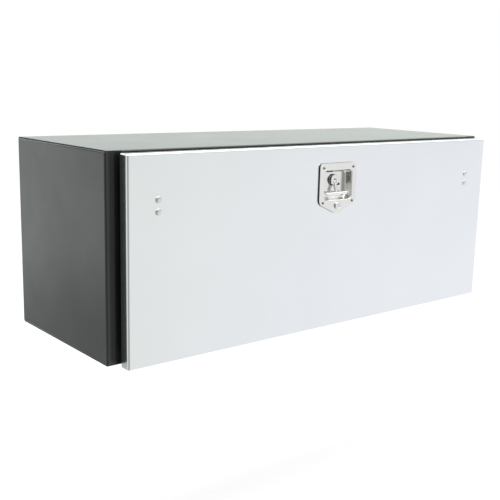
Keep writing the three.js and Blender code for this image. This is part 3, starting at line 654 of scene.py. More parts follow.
# %% Latch plate
def make_latch_plate():
    bm = bmesh.new()
    front = plate_low.y
    shoulder = hub_z - SHOULDER_BELOW_HUB
    outer = rounded_outline(bm, [
        (plate_low.x, front, plate_high.z), (plate_high.x, front, plate_high.z),
        (plate_high.x, front, shoulder), (latch_x, front, plate_low.z), (plate_low.x, front, shoulder),
    ], PLATE_CORNER)
    centre = Vector((latch_x, front, hub_z + (DISH_ABOVE - DISH_BELOW) / 2))
    half = Vector((DISH_HALF_WIDTH + LIP, (DISH_ABOVE + DISH_BELOW) / 2 + LIP))
    loop = rounded_outline(bm, [(centre.x + sx * half.x, front, centre.z + sz * half.y)
                                for sx, sz in ((-1, 1), (1, 1), (1, -1), (-1, -1))], DISH_CORNER + LIP)
    bmesh.ops.bridge_loops(bm, edges=outer + loop)
    size = half
    depth = 0
    for inset, deep in well_steps():
        drawn = draw_edges(bm, loop, (0, deep - depth, 0))
        inside = set(made(drawn, BMVert))
        target = Vector((half.x - inset, half.y - inset))
        bmesh.ops.scale(bm, verts=list(inside), vec=(target.x / size.x, 1, target.y / size.y),
                        space=Matrix.Translation(-centre))
        loop = [e for e in made(drawn, BMEdge) if e.verts[0] in inside and e.verts[1] in inside]
        size = target
        depth = deep
    bottom = bmesh.ops.contextual_create(bm, geom=loop)["faces"][0]
    cut_slot(bm, bottom, latch_x + SLOT_RIGHT, hub_z - SLOT_BELOW)
    give_wall(bm, DISH_WALL, (0, -1, 0))
    return bm


add_piece("latch_dish", make_latch_plate(), "door", "brushed_stainless", "latch_plate")

# %% [markdown]
# The hub is a thick disc with a slot that is open below, where the handle's shank lies, and a thin
# web behind it. A circle is cut by the slot's three lines. The faces beside the slot are extruded
# forwards, so the strip between them stays behind as the slot's bottom, and the rim is then
# extruded backwards and closed.

# %% Slotted hub
HUB_SLOT = 8.6 * MM
HUB_SLOT_TOP = 3.4 * MM
HUB_EDGE = 0.9 * MM
HUB_WEB = 1.1 * MM


def facing_disc(radius, y, z, segments):
    """A filled circle on the latch's middle line that faces out through the door."""
    bm = bmesh.new()
    place = Matrix.Translation((latch_x, y, z)) @ Matrix.Rotation(pi / 2, 4, "X")
    bmesh.ops.create_circle(bm, cap_ends=True, radius=radius, segments=segments, matrix=place)
    return bm


def close_behind(bm, depth):
    """Draws the open rim back by depth and caps it."""
    draw_edges(bm, [e for e in bm.edges if len(e.link_faces) == 1], (0, depth, 0))
    bmesh.ops.contextual_create(bm, geom=[e for e in bm.edges if len(e.link_faces) == 1])
    bmesh.ops.recalc_face_normals(bm, faces=bm.faces[:])


def make_hub():
    web_y = hub_high.y - HUB_WEB
    bm = facing_disc(HUB_RADIUS, web_y, hub_z, 64)
    cut_across(bm, 0, latch_x - HUB_SLOT / 2, latch_x + HUB_SLOT / 2)
    cut_across(bm, 2, hub_z + HUB_SLOT_TOP)
    beside = [f for f in bm.faces if abs(f.calc_center_median().x - latch_x) > HUB_SLOT / 2
              or f.calc_center_median().z > hub_z + HUB_SLOT_TOP]
    draw_faces(bm, beside, (0, hub_low.y - web_y, 0))
    close_behind(bm, HUB_WEB)
    front = [e for e in bm.edges if all(abs(v.co.y - hub_low.y) < TOUCHING for v in e.verts)
             and e.calc_face_angle(0) > radians(45)]
    soften(bm, front, HUB_EDGE, 3)
    return bm


add_piece("slotted_hub", make_hub(), "latch_rotor", "brushed_stainless", "latch_hub")

# %% [markdown]
# A thin black rubber ring round the turning hub, a little behind its face, stands in for the dark
# crescent at the hub's left, which is shade and dark reflection on the hub's side: the ring is
# painted shade. Its section is a flat oval, longer along the hub than it is thick, and it is spun
# round the hub.

# %% Hub ring
RING_HALF_THICKNESS = 0.35 * MM
RING_HALF_LENGTH = 1.7 * MM
RING_FORWARD = 3.1 * MM
RING_FIT = 0.1 * MM

ring_radius = HUB_RADIUS + RING_FIT + RING_HALF_THICKNESS
oval_angles = [radians(22.5 * i) for i in range(17)]
oval = [(ring_radius + RING_HALF_THICKNESS * cos(a), RING_HALF_LENGTH * sin(a)) for a in oval_angles]
# The black ring paints the shade on the hub's left side.
hub_shade_ring = turned(oval, (latch_x, hub_high.y - RING_FORWARD, hub_z), 64)
add_piece("hub_shade_ring", hub_shade_ring, "latch_rotor", "black_rubber")

# %% [markdown]
# The handle is a forging: a round cross bar, and a shank that runs up to an eye in the hub. The
# bar is turned with rounded ends. The shank starts as a cube as long as the way from eye to bar,
# its long edges are rounded, and it is tilted to lie between them.

# %% T-handle
GRIP_RADIUS = 3.7 * MM
EYE_RADIUS = 3.6 * MM
EYE_CHAMFER = 0.5 * MM
SHANK_WIDTH = 8 * MM
SHANK_THICKNESS = 5.6 * MM
SHANK_EDGE = 1.6 * MM

handle_low, handle_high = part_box("t_handle")
pin_low, pin_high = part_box("handle_pin")
pin_centre = (pin_low + pin_high) / 2
eye_centre = Vector((latch_x, pin_centre.y, pin_centre.z))
grip_centre = Vector((latch_x, handle_low.y + GRIP_RADIUS, handle_low.z + GRIP_RADIUS))


def make_handle():
    profile = round_ended((handle_high.x - handle_low.x) / 2, GRIP_RADIUS, 8)
    bm = turned(profile, grip_centre, 32, axis=0)
    run = grip_centre - eye_centre
    shank = block((SHANK_WIDTH, SHANK_THICKNESS, run.length))
    along = [e for e in shank.edges if abs((e.verts[0].co - e.verts[1].co).z) > run.length / 2]
    soften(shank, along, SHANK_EDGE)
    tilt = Matrix.Rotation(atan2(run.y, -run.z), 4, "X")
    place = Matrix.Translation((grip_centre + eye_centre) / 2) @ tilt
    shank.transform(place)
    eye = bar(EYE_RADIUS, -SHANK_WIDTH / 2, SHANK_WIDTH / 2, EYE_CHAMFER)
    add_part(bm, shank)
    add_part(bm, turned(eye, eye_centre, 32, axis=0))
    return bm


add_piece("t_handle_forging", make_handle(), "handle", "polished_stainless", "t_handle")

# %% [markdown]
# ## Lock and rivets
# Collar and rivets are turned parts, so each is a short profile spun about its axis. The barrel
# behind the collar is threaded for its nut. The plug is a disc that is cut like the hub's, and its
# keyway is the narrow face in the middle, extruded inwards.

# %% Lock
LOCK_RADIUS = 9.6 * MM
LOCK_BORE = 6.3 * MM
BORE_EDGE = 0.4 * MM
BARREL_RADIUS = 8 * MM
BARREL_CHAMFER = 0.5 * MM
COLLAR_EDGE = 1.2 * MM
THREAD_PITCH = 1.25 * MM
THREAD_DEPTH = 0.5 * MM
PLUG_RADIUS = 6 * MM
KEYWAY_WIDTH = 1.6 * MM
KEYWAY_HEIGHT = 7.5 * MM
KEYWAY_DEPTH = 6 * MM

lock_low, lock_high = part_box("lock_cylinder")
plug_low, plug_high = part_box("key_plug")
lock_z = (lock_low.z + lock_high.z) / 2
sheet_back = door_low.y + DOOR_SHEET


def threaded(radius, start, end):
    """Grooves along a turned profile, at the pitch of a fine thread."""
    turns = int((end - start) / THREAD_PITCH)
    points = []
    for i in range(turns):
        points += [(radius, start + i * THREAD_PITCH),
                   (radius - THREAD_DEPTH, start + (i + 0.5) * THREAD_PITCH)]
    return points + [(radius, start + turns * THREAD_PITCH)]


def make_lock_collar():
    back = plate_low.y - GAP - lock_low.y
    deep = lock_high.y - lock_low.y
    profile = [(LOCK_BORE, BORE_EDGE), (LOCK_BORE + BORE_EDGE, 0)]
    profile += quarter(LOCK_RADIUS - COLLAR_EDGE, COLLAR_EDGE, COLLAR_EDGE, -90, 0)
    profile += [(LOCK_RADIUS, back), (BARREL_RADIUS, back)]
    profile += threaded(BARREL_RADIUS, sheet_back - lock_low.y, deep - BARREL_CHAMFER)
    profile += [(BARREL_RADIUS - BARREL_CHAMFER, deep), (LOCK_BORE, deep), (LOCK_BORE, BORE_EDGE)]
    return turned(profile, (latch_x, lock_low.y, lock_z), 64)


def make_plug():
    bm = facing_disc(PLUG_RADIUS, plug_low.y, lock_z, 48)
    cut_across(bm, 0, latch_x - KEYWAY_WIDTH / 2, latch_x + KEYWAY_WIDTH / 2)
    cut_across(bm, 2, lock_z - KEYWAY_HEIGHT / 2, lock_z + KEYWAY_HEIGHT / 2)
    slot = [f for f in bm.faces if abs(f.calc_center_median().x - latch_x) < KEYWAY_WIDTH / 2
            and abs(f.calc_center_median().z - lock_z) < KEYWAY_HEIGHT / 2]
    draw_faces(bm, slot, (0, KEYWAY_DEPTH, 0))
    close_behind(bm, plug_high.y - plug_low.y)
    return bm


add_piece("lock_collar", make_lock_collar(), "door", "brushed_stainless", "lock_cylinder")
add_piece("lock_plug", make_plug(), "lock_core", "polished_stainless", "key_plug")

# %% [markdown]
# The four small rivets of the plate are blind rivets: a low dome with a hole in its middle, where
# the broken pin shows. The large ones beside them hold the rod guides and are plain domes. Behind
# the sheet each ends in the wider tail that setting it has formed.

# %% Rivets
SHANK_SHARE = 0.5
PIN_SHARE = 0.42
PIN_CROWN_SHARE = 0.86
PIN_SUNK = 1.0 * MM
PIN_EDGE = 0.1 * MM
TAIL_RISE = 1.7 * MM
TAIL_SHARE = 1.6
PLATE_RIVET_RISE = 1.8 * MM
GUIDE_RIVET_RISE = 2.2 * MM
GUIDE_SHEET = 2 * MM
RIVET_FIT = 0.05 * MM
guide_low, guide_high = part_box("rod_guide_left")


def make_rivet(node, rise, blind):
    low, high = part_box(node)
    head = (high.x - low.x) / 2
    shank = SHANK_SHARE * head
    dome = [(head * sin(radians(a)), rise * (1 - cos(radians(a)))) for a in range(0, 91, 9)]
    if blind:
        pin = PIN_SHARE * head
        hole = [(0, PIN_SUNK), (PIN_CROWN_SHARE * pin, PIN_SUNK + PIN_EDGE), (pin, PIN_SUNK + 3 * PIN_EDGE)]
        dome = hole + [point for point in dome if point[0] > pin + PIN_EDGE]
    behind = (sheet_back if blind else guide_low.y + GUIDE_SHEET) + RIVET_FIT - low.y
    tail = [(TAIL_SHARE * shank * cos(radians(a)), behind + TAIL_RISE * sin(radians(a)))
            for a in range(0, 91, 15)]
    profile = dome + [(head, rise + RIVET_FIT), (shank, rise + RIVET_FIT), (shank, behind)] + tail
    return turned(profile, ((low.x + high.x) / 2, low.y, (low.z + high.z) / 2))


for number in range(1, 5):
    for kind, rise in (("plate", PLATE_RIVET_RISE), ("guide", GUIDE_RIVET_RISE)):
        node = f"{kind}_rivet_{number}"
        rivet = make_rivet(node, rise, kind == "plate")
        add_piece(f"{kind}_rivet_head_{number}", rivet, "door", "rivet_steel", node,
                  finish="dull_rivet" if kind == "plate" else None)

# %% [markdown]
# ## Plates with holes
# Most fittings behind the door are punched plates. The rim and the holes are drawn as outlines
# with rounded corners, the area between them is filled and drawn back by the plate's thickness,
# and the edges of both faces lose their burr.

# %% Plates with holes
def flat_plate(thickness, rim, *holes, burr=0.35 * MM):
    """A plate in the plane y = 0. Rim and holes are lists of (x, z) points with a corner radius."""
    bm = bmesh.new()
    for points, radius in (rim, *holes):
        rounded_outline(bm, [(x, 0, z) for x, z in points], radius)
    bmesh.ops.triangle_fill(bm, use_beauty=True, edges=bm.edges[:])
    draw_faces(bm, bm.faces[:], (0, thickness, 0), keep=True)
    bmesh.ops.recalc_face_normals(bm, faces=bm.faces[:])
    corners = [e for e in bm.edges if e.calc_face_angle(0) >= radians(1)
               and abs(e.verts[0].co.y - e.verts[1].co.y) < TOUCHING]
    soften(bm, corners, burr, 2)
    return bm


def rectangle(x0, z0, x1, z1):
    """The corners of an upright rectangle."""
    return [(x0, z0), (x1, z0), (x1, z1), (x0, z1)]


def polygon(x, z, radius, sides, turn=0):
    """Corners on a circle; many of them make a round hole."""
    angles = [turn + 2 * pi * i / sides for i in range(sides)]
    return [(x + radius * sin(a), z + radius * cos(a)) for a in angles]


def add_plate(name, bm, node, body, slot, turn=None):
    """Turns a plate if asked, brings its front to the front of the node's box, and adds it."""
    if turn is not None:
        bm.transform(turn)
    front = min(v.co.y for v in bm.verts)
    bm.transform(Matrix.Translation((0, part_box(node)[0].y - front, 0)))
    add_piece(name, bm, body, slot, node)


# %% [markdown]
# A rubber gasket lies between latch plate and door and shows as a dark line round the plate. The
# two strikers are wear plates behind the body's front flanges, where the rods' ends pass.

# %% Gasket and strikers
STRIKER_SHEET = 3 * MM
STRIKER_CORNER = 5 * MM
STRIKER_BURR = 0.8 * MM
GASKET_INSET = 0.4 * MM
GASKET_BURR = 0.2 * MM


def make_gasket():
    low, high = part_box("latch_gasket")
    shoulder = hub_z - SHOULDER_BELOW_HUB + GASKET_INSET
    rim = [(low.x, high.z), (low.x, shoulder), (latch_x, low.z), (high.x, shoulder), (high.x, high.z)]
    hole = rectangle(hole_x[0], hole_z[0], hole_x[1], hole_z[1])
    return flat_plate(high.y - low.y, (rim, PLATE_CORNER), (hole, DISH_CORNER), burr=GASKET_BURR)


add_plate("plate_gasket", make_gasket(), "latch_gasket", "door", "black_rubber")
for side in ("left", "right"):
    low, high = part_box(f"striker_{side}")
    rim = rectangle(low.x, low.z, high.x, high.z)
    striker = flat_plate(STRIKER_SHEET, (rim, STRIKER_CORNER), burr=STRIKER_BURR)
    add_plate(f"striker_plate_{side}", striker, f"striker_{side}", "box", "zinc_steel")

# %% [markdown]
# The lock's pawl and both nuts are plates with a round hole, and so is the cam, whose two pins
# drive the rods. The cam is drawn upright and then turned to its rest angle.

# %% Pawl, nuts and cam
CAM_SHEET = 3 * MM
CAM_HALF_WIDTH = 11 * MM
CAM_THROW = 24 * MM
CAM_TURN = radians(22.5)
CAM_PIN = 4 * MM
CAM_PIN_CHAMFER = 0.6 * MM
NUT_CORNER = 0.6 * MM
NUT_BURR = 0.7 * MM
SPINDLE_RADIUS = 5.5 * MM
FIT = 0.3 * MM
ROUND = 48


def make_hexagon(node, bore):
    low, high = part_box(node)
    x, z = (low.x + high.x) / 2, (low.z + high.z) / 2
    upright = high.z - low.z > high.x - low.x
    rim = polygon(x, z, max(high.z - low.z, high.x - low.x) / 2, 6, 0 if upright else pi / 2)
    hole = polygon(x, z, bore, ROUND)
    return flat_plate(high.y - low.y, (rim, NUT_CORNER), (hole, 0), burr=NUT_BURR)


def make_pawl():
    low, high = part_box("lock_pawl")
    rim = rectangle(low.x, low.z, high.x, high.z)
    hole = polygon(latch_x, lock_z, PLUG_RADIUS + FIT, ROUND)
    return flat_plate(high.y - low.y, (rim, (high.z - low.z) / 4), (hole, 0))


def make_cam():
    half = CAM_THROW + CAM_HALF_WIDTH
    rim = rectangle(-CAM_HALF_WIDTH, -half, CAM_HALF_WIDTH, half)
    hole = polygon(0, 0, SPINDLE_RADIUS + FIT, ROUND)
    bm = flat_plate(CAM_SHEET, (rim, CAM_HALF_WIDTH - FIT), (hole, 0))
    low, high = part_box("cam_plate")
    reach = high.y - low.y
    pin = [(0, CAM_SHEET / 2), (CAM_PIN, CAM_SHEET / 2), (CAM_PIN, reach - CAM_PIN_CHAMFER),
           (CAM_PIN - CAM_PIN_CHAMFER, reach), (0, reach)]
    for place in (-CAM_THROW, CAM_THROW):
        add_part(bm, turned(pin, (0, 0, place), ROUND))
    return bm


at_rest = Matrix.Translation((latch_x, 0, hub_z)) @ Matrix.Rotation(-CAM_TURN, 4, "Y")
lock_nut = make_hexagon("lock_nut", BARREL_RADIUS + FIT)
spindle_nut = make_hexagon("spindle_nut", SPINDLE_RADIUS + FIT)
add_plate("pawl", make_pawl(), "lock_pawl", "lock_core", "zinc_steel")
add_plate("lock_hex_nut", lock_nut, "lock_nut", "door", "zinc_steel")
add_plate("spindle_hex_nut", spindle_nut, "spindle_nut", "latch_rotor", "zinc_steel")
add_plate("cam_with_pins", make_cam(), "cam_plate", "latch_rotor", "zinc_steel", at_rest)

# %% [markdown]
# Spindle, bush and cross pin are turned. The spindle's end is threaded for the nut, and the bush
# has a chamfer at both ends so that the spindle finds its way in.

# %% Spindle, bush and cross pin
CHAMFER = 0.7 * MM
CROSS_PIN_CHAMFER = 0.3 * MM


def make_spindle():
    low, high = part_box("spindle")
    nut_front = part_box("spindle_nut")[0].y
    length = high.y - low.y
    profile = [(0, 0), (SPINDLE_RADIUS - CHAMFER, 0), (SPINDLE_RADIUS, CHAMFER)]
    profile += threaded(SPINDLE_RADIUS, nut_front - low.y, length - CHAMFER)
    profile += [(SPINDLE_RADIUS - CHAMFER, length), (0, length)]
    return turned(profile, (latch_x, low.y, hub_z), ROUND)


def make_bush():
    low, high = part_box("spindle_bush")
    outer = (high.x - low.x) / 2
    inner = SPINDLE_RADIUS + FIT
    length = high.y - low.y
    section = [(inner + CHAMFER, 0), *bar(outer, 0, length, CHAMFER)[1:-1], (inner + CHAMFER, length),
               (inner, length - CHAMFER), (inner, CHAMFER), (inner + CHAMFER, 0)]
    return turned(section, (latch_x, low.y, hub_z), ROUND)


cross_pin = bar((pin_high.z - pin_low.z) / 2, pin_low.x, pin_high.x, CROSS_PIN_CHAMFER)
cross_pin = turned(cross_pin, (0, pin_centre.y, pin_centre.z), 24, axis=0)
add_piece("spindle_bar", make_spindle(), "latch_rotor", "zinc_steel", "spindle")
add_piece("spindle_sleeve", make_bush(), "door", "zinc_steel", "spindle_bush")
add_piece("cross_pin", cross_pin, "latch_rotor", "brushed_stainless", "handle_pin")

# %% [markdown]
# ## Rods
# Each latch rod is a round bar welded to a punched strap, and the cam's pin moves the strap by its
# slot. The bar is turned, the strap is a plate with a slot, and four small beads show the weld.
# The right strap has a leg that comes down to the bar, so that both rods run at one height.

# %% Rods
STRAP = 3 * MM
STRAP_CORNER = 4 * MM
STRAP_LAP = 14 * MM
SLOT_CORNER = 4.2 * MM
YOKE_WALL = 4 * MM
YOKE_HALF_WIDTH = 4.5 * MM
YOKE_HALF_HEIGHT = 5.45 * MM
ROD_RADIUS = 4.75 * MM
ROD_CHAMFER = 1.2 * MM
BEAD = 1.3 * MM
BEAD_SUNK = 0.5 * MM
LEFT_WELD_INSET = 1 * MM
RIGHT_WELD_INSET = 0.5 * MM
LEG_LEFT = 31 * MM
LEG_WIDTH = 14 * MM
rod_z = (guide_low.z + guide_high.z) / 2
rod_y = middle_of("rod_left").y


def make_rod(outline, slot_x, slot_z, start, end, weld_start, weld_end):
    slot = rectangle(slot_x - YOKE_HALF_WIDTH, slot_z - YOKE_HALF_HEIGHT,
                     slot_x + YOKE_HALF_WIDTH, slot_z + YOKE_HALF_HEIGHT)
    bm = flat_plate(STRAP, (outline, STRAP_CORNER), (slot, SLOT_CORNER))
    bm.transform(Matrix.Translation((0, rod_y - STRAP / 2, 0)))
    profile = bar(ROD_RADIUS, start, end, ROD_CHAMFER)
    add_part(bm, turned(profile, (0, rod_y, rod_z), ROUND, axis=0))
    bead = round_ended((weld_end - weld_start) / 2, BEAD, 4)
    for y in (rod_y - STRAP / 2, rod_y + STRAP / 2):
        for up in (-1, 1):
            place = ((weld_start + weld_end) / 2, y, rod_z + up * (ROD_RADIUS - BEAD_SUNK))
            add_part(bm, turned(bead, place, 12, axis=0))
    return bm


def make_left_rod():
    low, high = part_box("rod_left")
    join = latch_x - CAM_THROW - CAM_HALF_WIDTH - YOKE_WALL
    lap = join - STRAP_LAP
    return make_rod(rectangle(lap, low.z, high.x, high.z), high.x - YOKE_WALL - YOKE_HALF_WIDTH,
                    (low.z + high.z) / 2, low.x, join, lap + LEFT_WELD_INSET, join - LEFT_WELD_INSET)


def make_right_rod():
    low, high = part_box("rod_right")
    leg = latch_x + LEG_LEFT
    outer = leg + LEG_WIDTH
    middle = leg + LEG_WIDTH / 2
    arm_bottom = high.z - 2 * (YOKE_HALF_HEIGHT + YOKE_WALL)
    outline = [(low.x, arm_bottom), (leg, arm_bottom), (leg, low.z), (outer, low.z), (outer, high.z),
               (low.x, high.z)]
    return make_rod(outline, low.x + YOKE_WALL + YOKE_HALF_WIDTH, (arm_bottom + high.z) / 2,
                    middle, high.x, middle + RIGHT_WELD_INSET, outer - RIGHT_WELD_INSET)


add_piece("latch_rod_left", make_left_rod(), "left_rod", "zinc_steel", "rod_left")
add_piece("latch_rod_right", make_right_rod(), "right_rod", "zinc_steel", "rod_right")

# %% [markdown]
# ## Hat channels
# The two stiffeners and the two rod guides are hat channels: a strip folded four times. The same
# folded skin as the body's gives them, with its wall on the door's side.

# %% Hat channels
HAT_SHEET = 1.2 * MM
HAT_BEND = 2.4 * MM
HAT_CROWN = 36 * MM
GUIDE_CROWN = 17 * MM
GUIDE_BEND = 3 * MM


def make_channel(node, crown, sheet, bend):
    low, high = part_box(node)
    top = (low.z + high.z + crown) / 2
    bottom = top - crown
    path = [(low.y + sheet, high.z), (low.y + sheet, top), (high.y, top), (high.y, bottom),
            (low.y + sheet, bottom), (low.y + sheet, low.z)]
    bm = folded_skin(path, low.x, high.x, bend)
    give_wall(bm, sheet, (0, 1, 0))
    return bm


hats = {
    "stiffener_channel": ("door_stiffener", ("lower", "middle"), HAT_CROWN, HAT_SHEET, HAT_BEND),
    "guide_channel": ("rod_guide", ("left", "right"), GUIDE_CROWN, GUIDE_SHEET, GUIDE_BEND),
}
for name, (node, places, *shape) in hats.items():
    for place in places:
        channel = make_channel(f"{node}_{place}", *shape)
        add_piece(f"{name}_{place}", channel, "door", "zinc_steel", f"{node}_{place}")

# %% [markdown]
# A nylon block sits in each guide and carries the rod. It is a plate too, this time with its bore
# facing along the rod: the plate is drawn in x and z and then given a quarter turn.

# %% Guide bushes
BUSH_CORNER = 1.2 * MM
BUSH_BURR = 0.5 * MM


def make_guide_bush(node):
    low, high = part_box(node)
    rim = rectangle(low.y - rod_y, low.z - rod_z, high.y - rod_y, high.z - rod_z)
    bore = polygon(0, 0, ROD_RADIUS + FIT, ROUND)
    bm = flat_plate(high.x - low.x, (rim, BUSH_CORNER), (bore, 0), burr=BUSH_BURR)
    bm.transform(Matrix.Translation((high.x, rod_y, rod_z)) @ Matrix.Rotation(pi / 2, 4, "Z"))
    return bm


for side in ("left", "right"):
    bush = make_guide_bush(f"guide_bush_{side}")
    add_piece(f"rod_bush_{side}", bush, "door", "nylon", f"guide_bush_{side}")

# %% [markdown]
# ## Cable anchors
# Four small angles carry the cables that stop the door. The ear is drawn first, with its eye. The
# base is drawn out of the ear's straight side, the fold between them is rounded, and then the
# skin gets its wall.

# %% Cable anchors
ANCHOR_SHEET = 2 * MM
ANCHOR_BEND = 3 * MM
ANCHOR_CORNER = 7 * MM
EYE = 5 * MM
EYE_EDGE = 10 * MM


def edges_at(bm, x, y):
    """The upright edges at this x and y."""
    return [e for e in bm.edges
            if all(abs(v.co.x - x) < TOUCHING and abs(v.co.y - y) < TOUCHING for v in e.verts)]


def make_anchor(node, ear_at_right):
    low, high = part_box(node)
    ear_x, base_x = (high.x, low.x) if ear_at_right else (low.x, high.x)
    bm = bmesh.new()
    corners = [(low.y, low.z), (high.y, low.z), (high.y, high.z), (low.y, high.z)]
    bm.faces.new([bm.verts.new((ear_x, *corner)) for corner in corners])
    tips = [v for v in bm.verts if v.co.y > low.y + EYE_EDGE / 2]
    soften(bm, tips, ANCHOR_CORNER, 6, "VERTICES")
    bmesh.ops.delete(bm, geom=bm.faces[:], context="FACES_ONLY")
    eye = Matrix.Translation((ear_x, high.y - EYE_EDGE, (low.z + high.z) / 2))
    bmesh.ops.create_circle(bm, radius=EYE, segments=32, matrix=eye @ Matrix.Rotation(pi / 2, 4, "Y"))
    bmesh.ops.triangle_fill(bm, use_beauty=True, edges=bm.edges[:])
    draw_edges(bm, edges_at(bm, ear_x, low.y), (base_x - ear_x, 0, 0))
    soften(bm, edges_at(bm, ear_x, low.y), ANCHOR_BEND, 6)
    give_wall(bm, ANCHOR_SHEET, (0, -1, 0))
    return bm


for owner, body in (("body", "box"), ("door", "door")):
    for side in ("left", "right"):
        node = f"cable_anchor_{owner}_{side}"
        anchor = make_anchor(node, (owner == "body") == (side == "left"))
        add_piece(f"{owner}_cable_eye_{side}", anchor, body, "zinc_steel", node)

# %% [markdown]
# ## The hinge
# The hinge is continuous: two leaves whose edges are rolled round one long pin, by turns. A leaf
# starts as one long face, is cut at every knuckle, and loses the places where the other leaf's
# knuckles turn. Its own knuckles are turned rings.

# %% Hinge
KNUCKLES = 15
KNUCKLE_GAP = 0.4 * MM
KNUCKLE_RADIUS = 4 * MM
KNUCKLE_BORE = 2.3 * MM
KNUCKLE_CHAMFER = 0.3 * MM
LEAF_SHEET = 1.5 * MM
LEAF_RELIEF = 0.6 * MM
HINGE_PIN_CHAMFER = 0.5 * MM
hinge_low, hinge_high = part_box("hinge_pin")
hinge_centre = middle_of("hinge_pin")
hinge_length = hinge_high.x - hinge_low.x
pitch = hinge_length / KNUCKLES


def make_leaf(width, first, turn):
    """Drawn flat along y with its knuckles about the x axis, then turned into place."""
    half = hinge_length / 2
    reach = KNUCKLE_RADIUS + LEAF_RELIEF
    bm = bmesh.new()
    bmesh.ops.create_grid(bm, x_segments=1, y_segments=1, size=0.5)
    flat_leaf = Matrix.Translation((0, width / 2, -KNUCKLE_RADIUS))
    bm.transform(flat_leaf @ Matrix.Diagonal((hinge_length, width, 1, 1)))
    cut_across(bm, 1, reach)
    for i in range(1 - first, KNUCKLES, 2):
        start = i * pitch - half - KNUCKLE_GAP
        end = start + pitch + 2 * KNUCKLE_GAP
        cut_across(bm, 0, *[place for place in (start, end) if abs(place) < half])
        drop_faces(bm, lambda c: start < c.x < end and c.y < reach)
    give_wall(bm, LEAF_SHEET, (0, 0, -1))
    for i in range(first, KNUCKLES, 2):
        start = max(i * pitch - half + KNUCKLE_GAP, -half)
        end = min((i + 1) * pitch - half - KNUCKLE_GAP, half)
        section = [(KNUCKLE_BORE, start), *bar(KNUCKLE_RADIUS, start, end, KNUCKLE_CHAMFER)[1:-1],
                   (KNUCKLE_BORE, end), (KNUCKLE_BORE, start)]
        add_part(bm, turned(section, (0, 0, 0), 32, axis=0))
    bm.transform(Matrix.Translation(hinge_centre) @ turn)
    return bm


upright = make_leaf(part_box("hinge_body_leaf")[1].z - hinge_centre.z, 0, Matrix.Rotation(pi / 2, 4, "X"))
lying = make_leaf(hinge_centre.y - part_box("hinge_door_leaf")[0].y, 1, Matrix.Rotation(pi, 4, "Z"))
pin_radius = (hinge_high.z - hinge_low.z) / 2
long_pin = bar(pin_radius, -hinge_length / 2, hinge_length / 2, HINGE_PIN_CHAMFER)
long_pin = turned(long_pin, hinge_centre, 24, axis=0)
add_piece("body_hinge_leaf", upright, "box", "brushed_stainless", "hinge_body_leaf")
add_piece("door_hinge_leaf", lying, "door", "brushed_stainless", "hinge_door_leaf")
add_piece("long_hinge_pin", long_pin, "box", "brushed_stainless", "hinge_pin")

# %% [markdown]
# ## The studio
# Polished steel looks like the room around it, so the room is part of the finish. In the
# photograph it is white, a little brighter towards the right, and dark at one end: the black strip
# beside the door shows that. One small function gives this brightness for any direction, and both
# the sky and the floor use it for the rays that reflections send out.
#
# The white isn't quite neutral either. Behind the box it leans to green, which the top and the
# side panel show. In front it is neutral on the left and leans to blue on the right, which the
# door shows along its length.

# %% Brightness and colour of the room
DARK_END = (-0.46, -0.888, 0)
DARK_LEVEL = 0.45
LEFT_LEVEL = 0.96
RIGHT_LEVEL = 1.09
WHITE_BEHIND = (0.94, 1.0, 0.96)
WHITE_LEFT = (0.97, 0.965, 0.94)
WHITE_RIGHT = (0.95, 0.945, 0.975)


def times(tree, first, second):
    """The product of two values."""
    return add_node(tree, "Math", {0: first, 1: second}, operation="MULTIPLY").outputs[0]


def room_brightness(tree, direction):
    """Brightness of the white room by direction."""
    side = spread(tree, part_of(tree, direction, "X"), LEFT_LEVEL, RIGHT_LEVEL, start=0.35, end=1)
    facing = add_node(tree, "VectorMath", {0: direction, 1: DARK_END}, operation="DOT_PRODUCT")
    dark = spread(tree, facing.outputs["Value"], 1.0, DARK_LEVEL, start=0.55, end=0.93, curve="SMOOTHSTEP")
    return times(tree, side, dark)


def room_color(tree, direction):
    """Colour of the white room by direction."""
    rightwards = spread(tree, part_of(tree, direction, "X"), 0, 1, start=0.55, end=0.8)
    backwards = spread(tree, part_of(tree, direction, "Y"), 0, 1, start=-0.2, end=0.3)
    return blend(tree, backwards, blend(tree, rightwards, WHITE_LEFT, WHITE_RIGHT), WHITE_BEHIND)


# %% [markdown]
# The floor lies well below the box, as the ground does under a box that hangs beneath a deck, so
# the open door never reaches it. The camera sees it white with the soft shadow of the box;
# reflections see the room's brightness on it, with a painted shade close behind the box's left end.

# %% Floor
FLOOR_DROP = 0.55
FLOOR_SIZE = 40
MIRRORED_FROM = (-0.6, -0.2, -FLOOR_DROP)
SHADE_CENTRE = (-1.4, 1.5, -FLOOR_DROP)
SHADE_REACH = 2.4
SHADE_LEVEL = 0.5
PAINT = (0.6, 0.6, 0.6, 1)
LIFT = (0.74, 0.74, 0.74, 1)


def mixed(tree, factor, first, second):
    """Mixes two shaders by a factor socket."""
    return add_node(tree, "MixShader", {0: factor, 1: first, 2: second}).outputs[0]


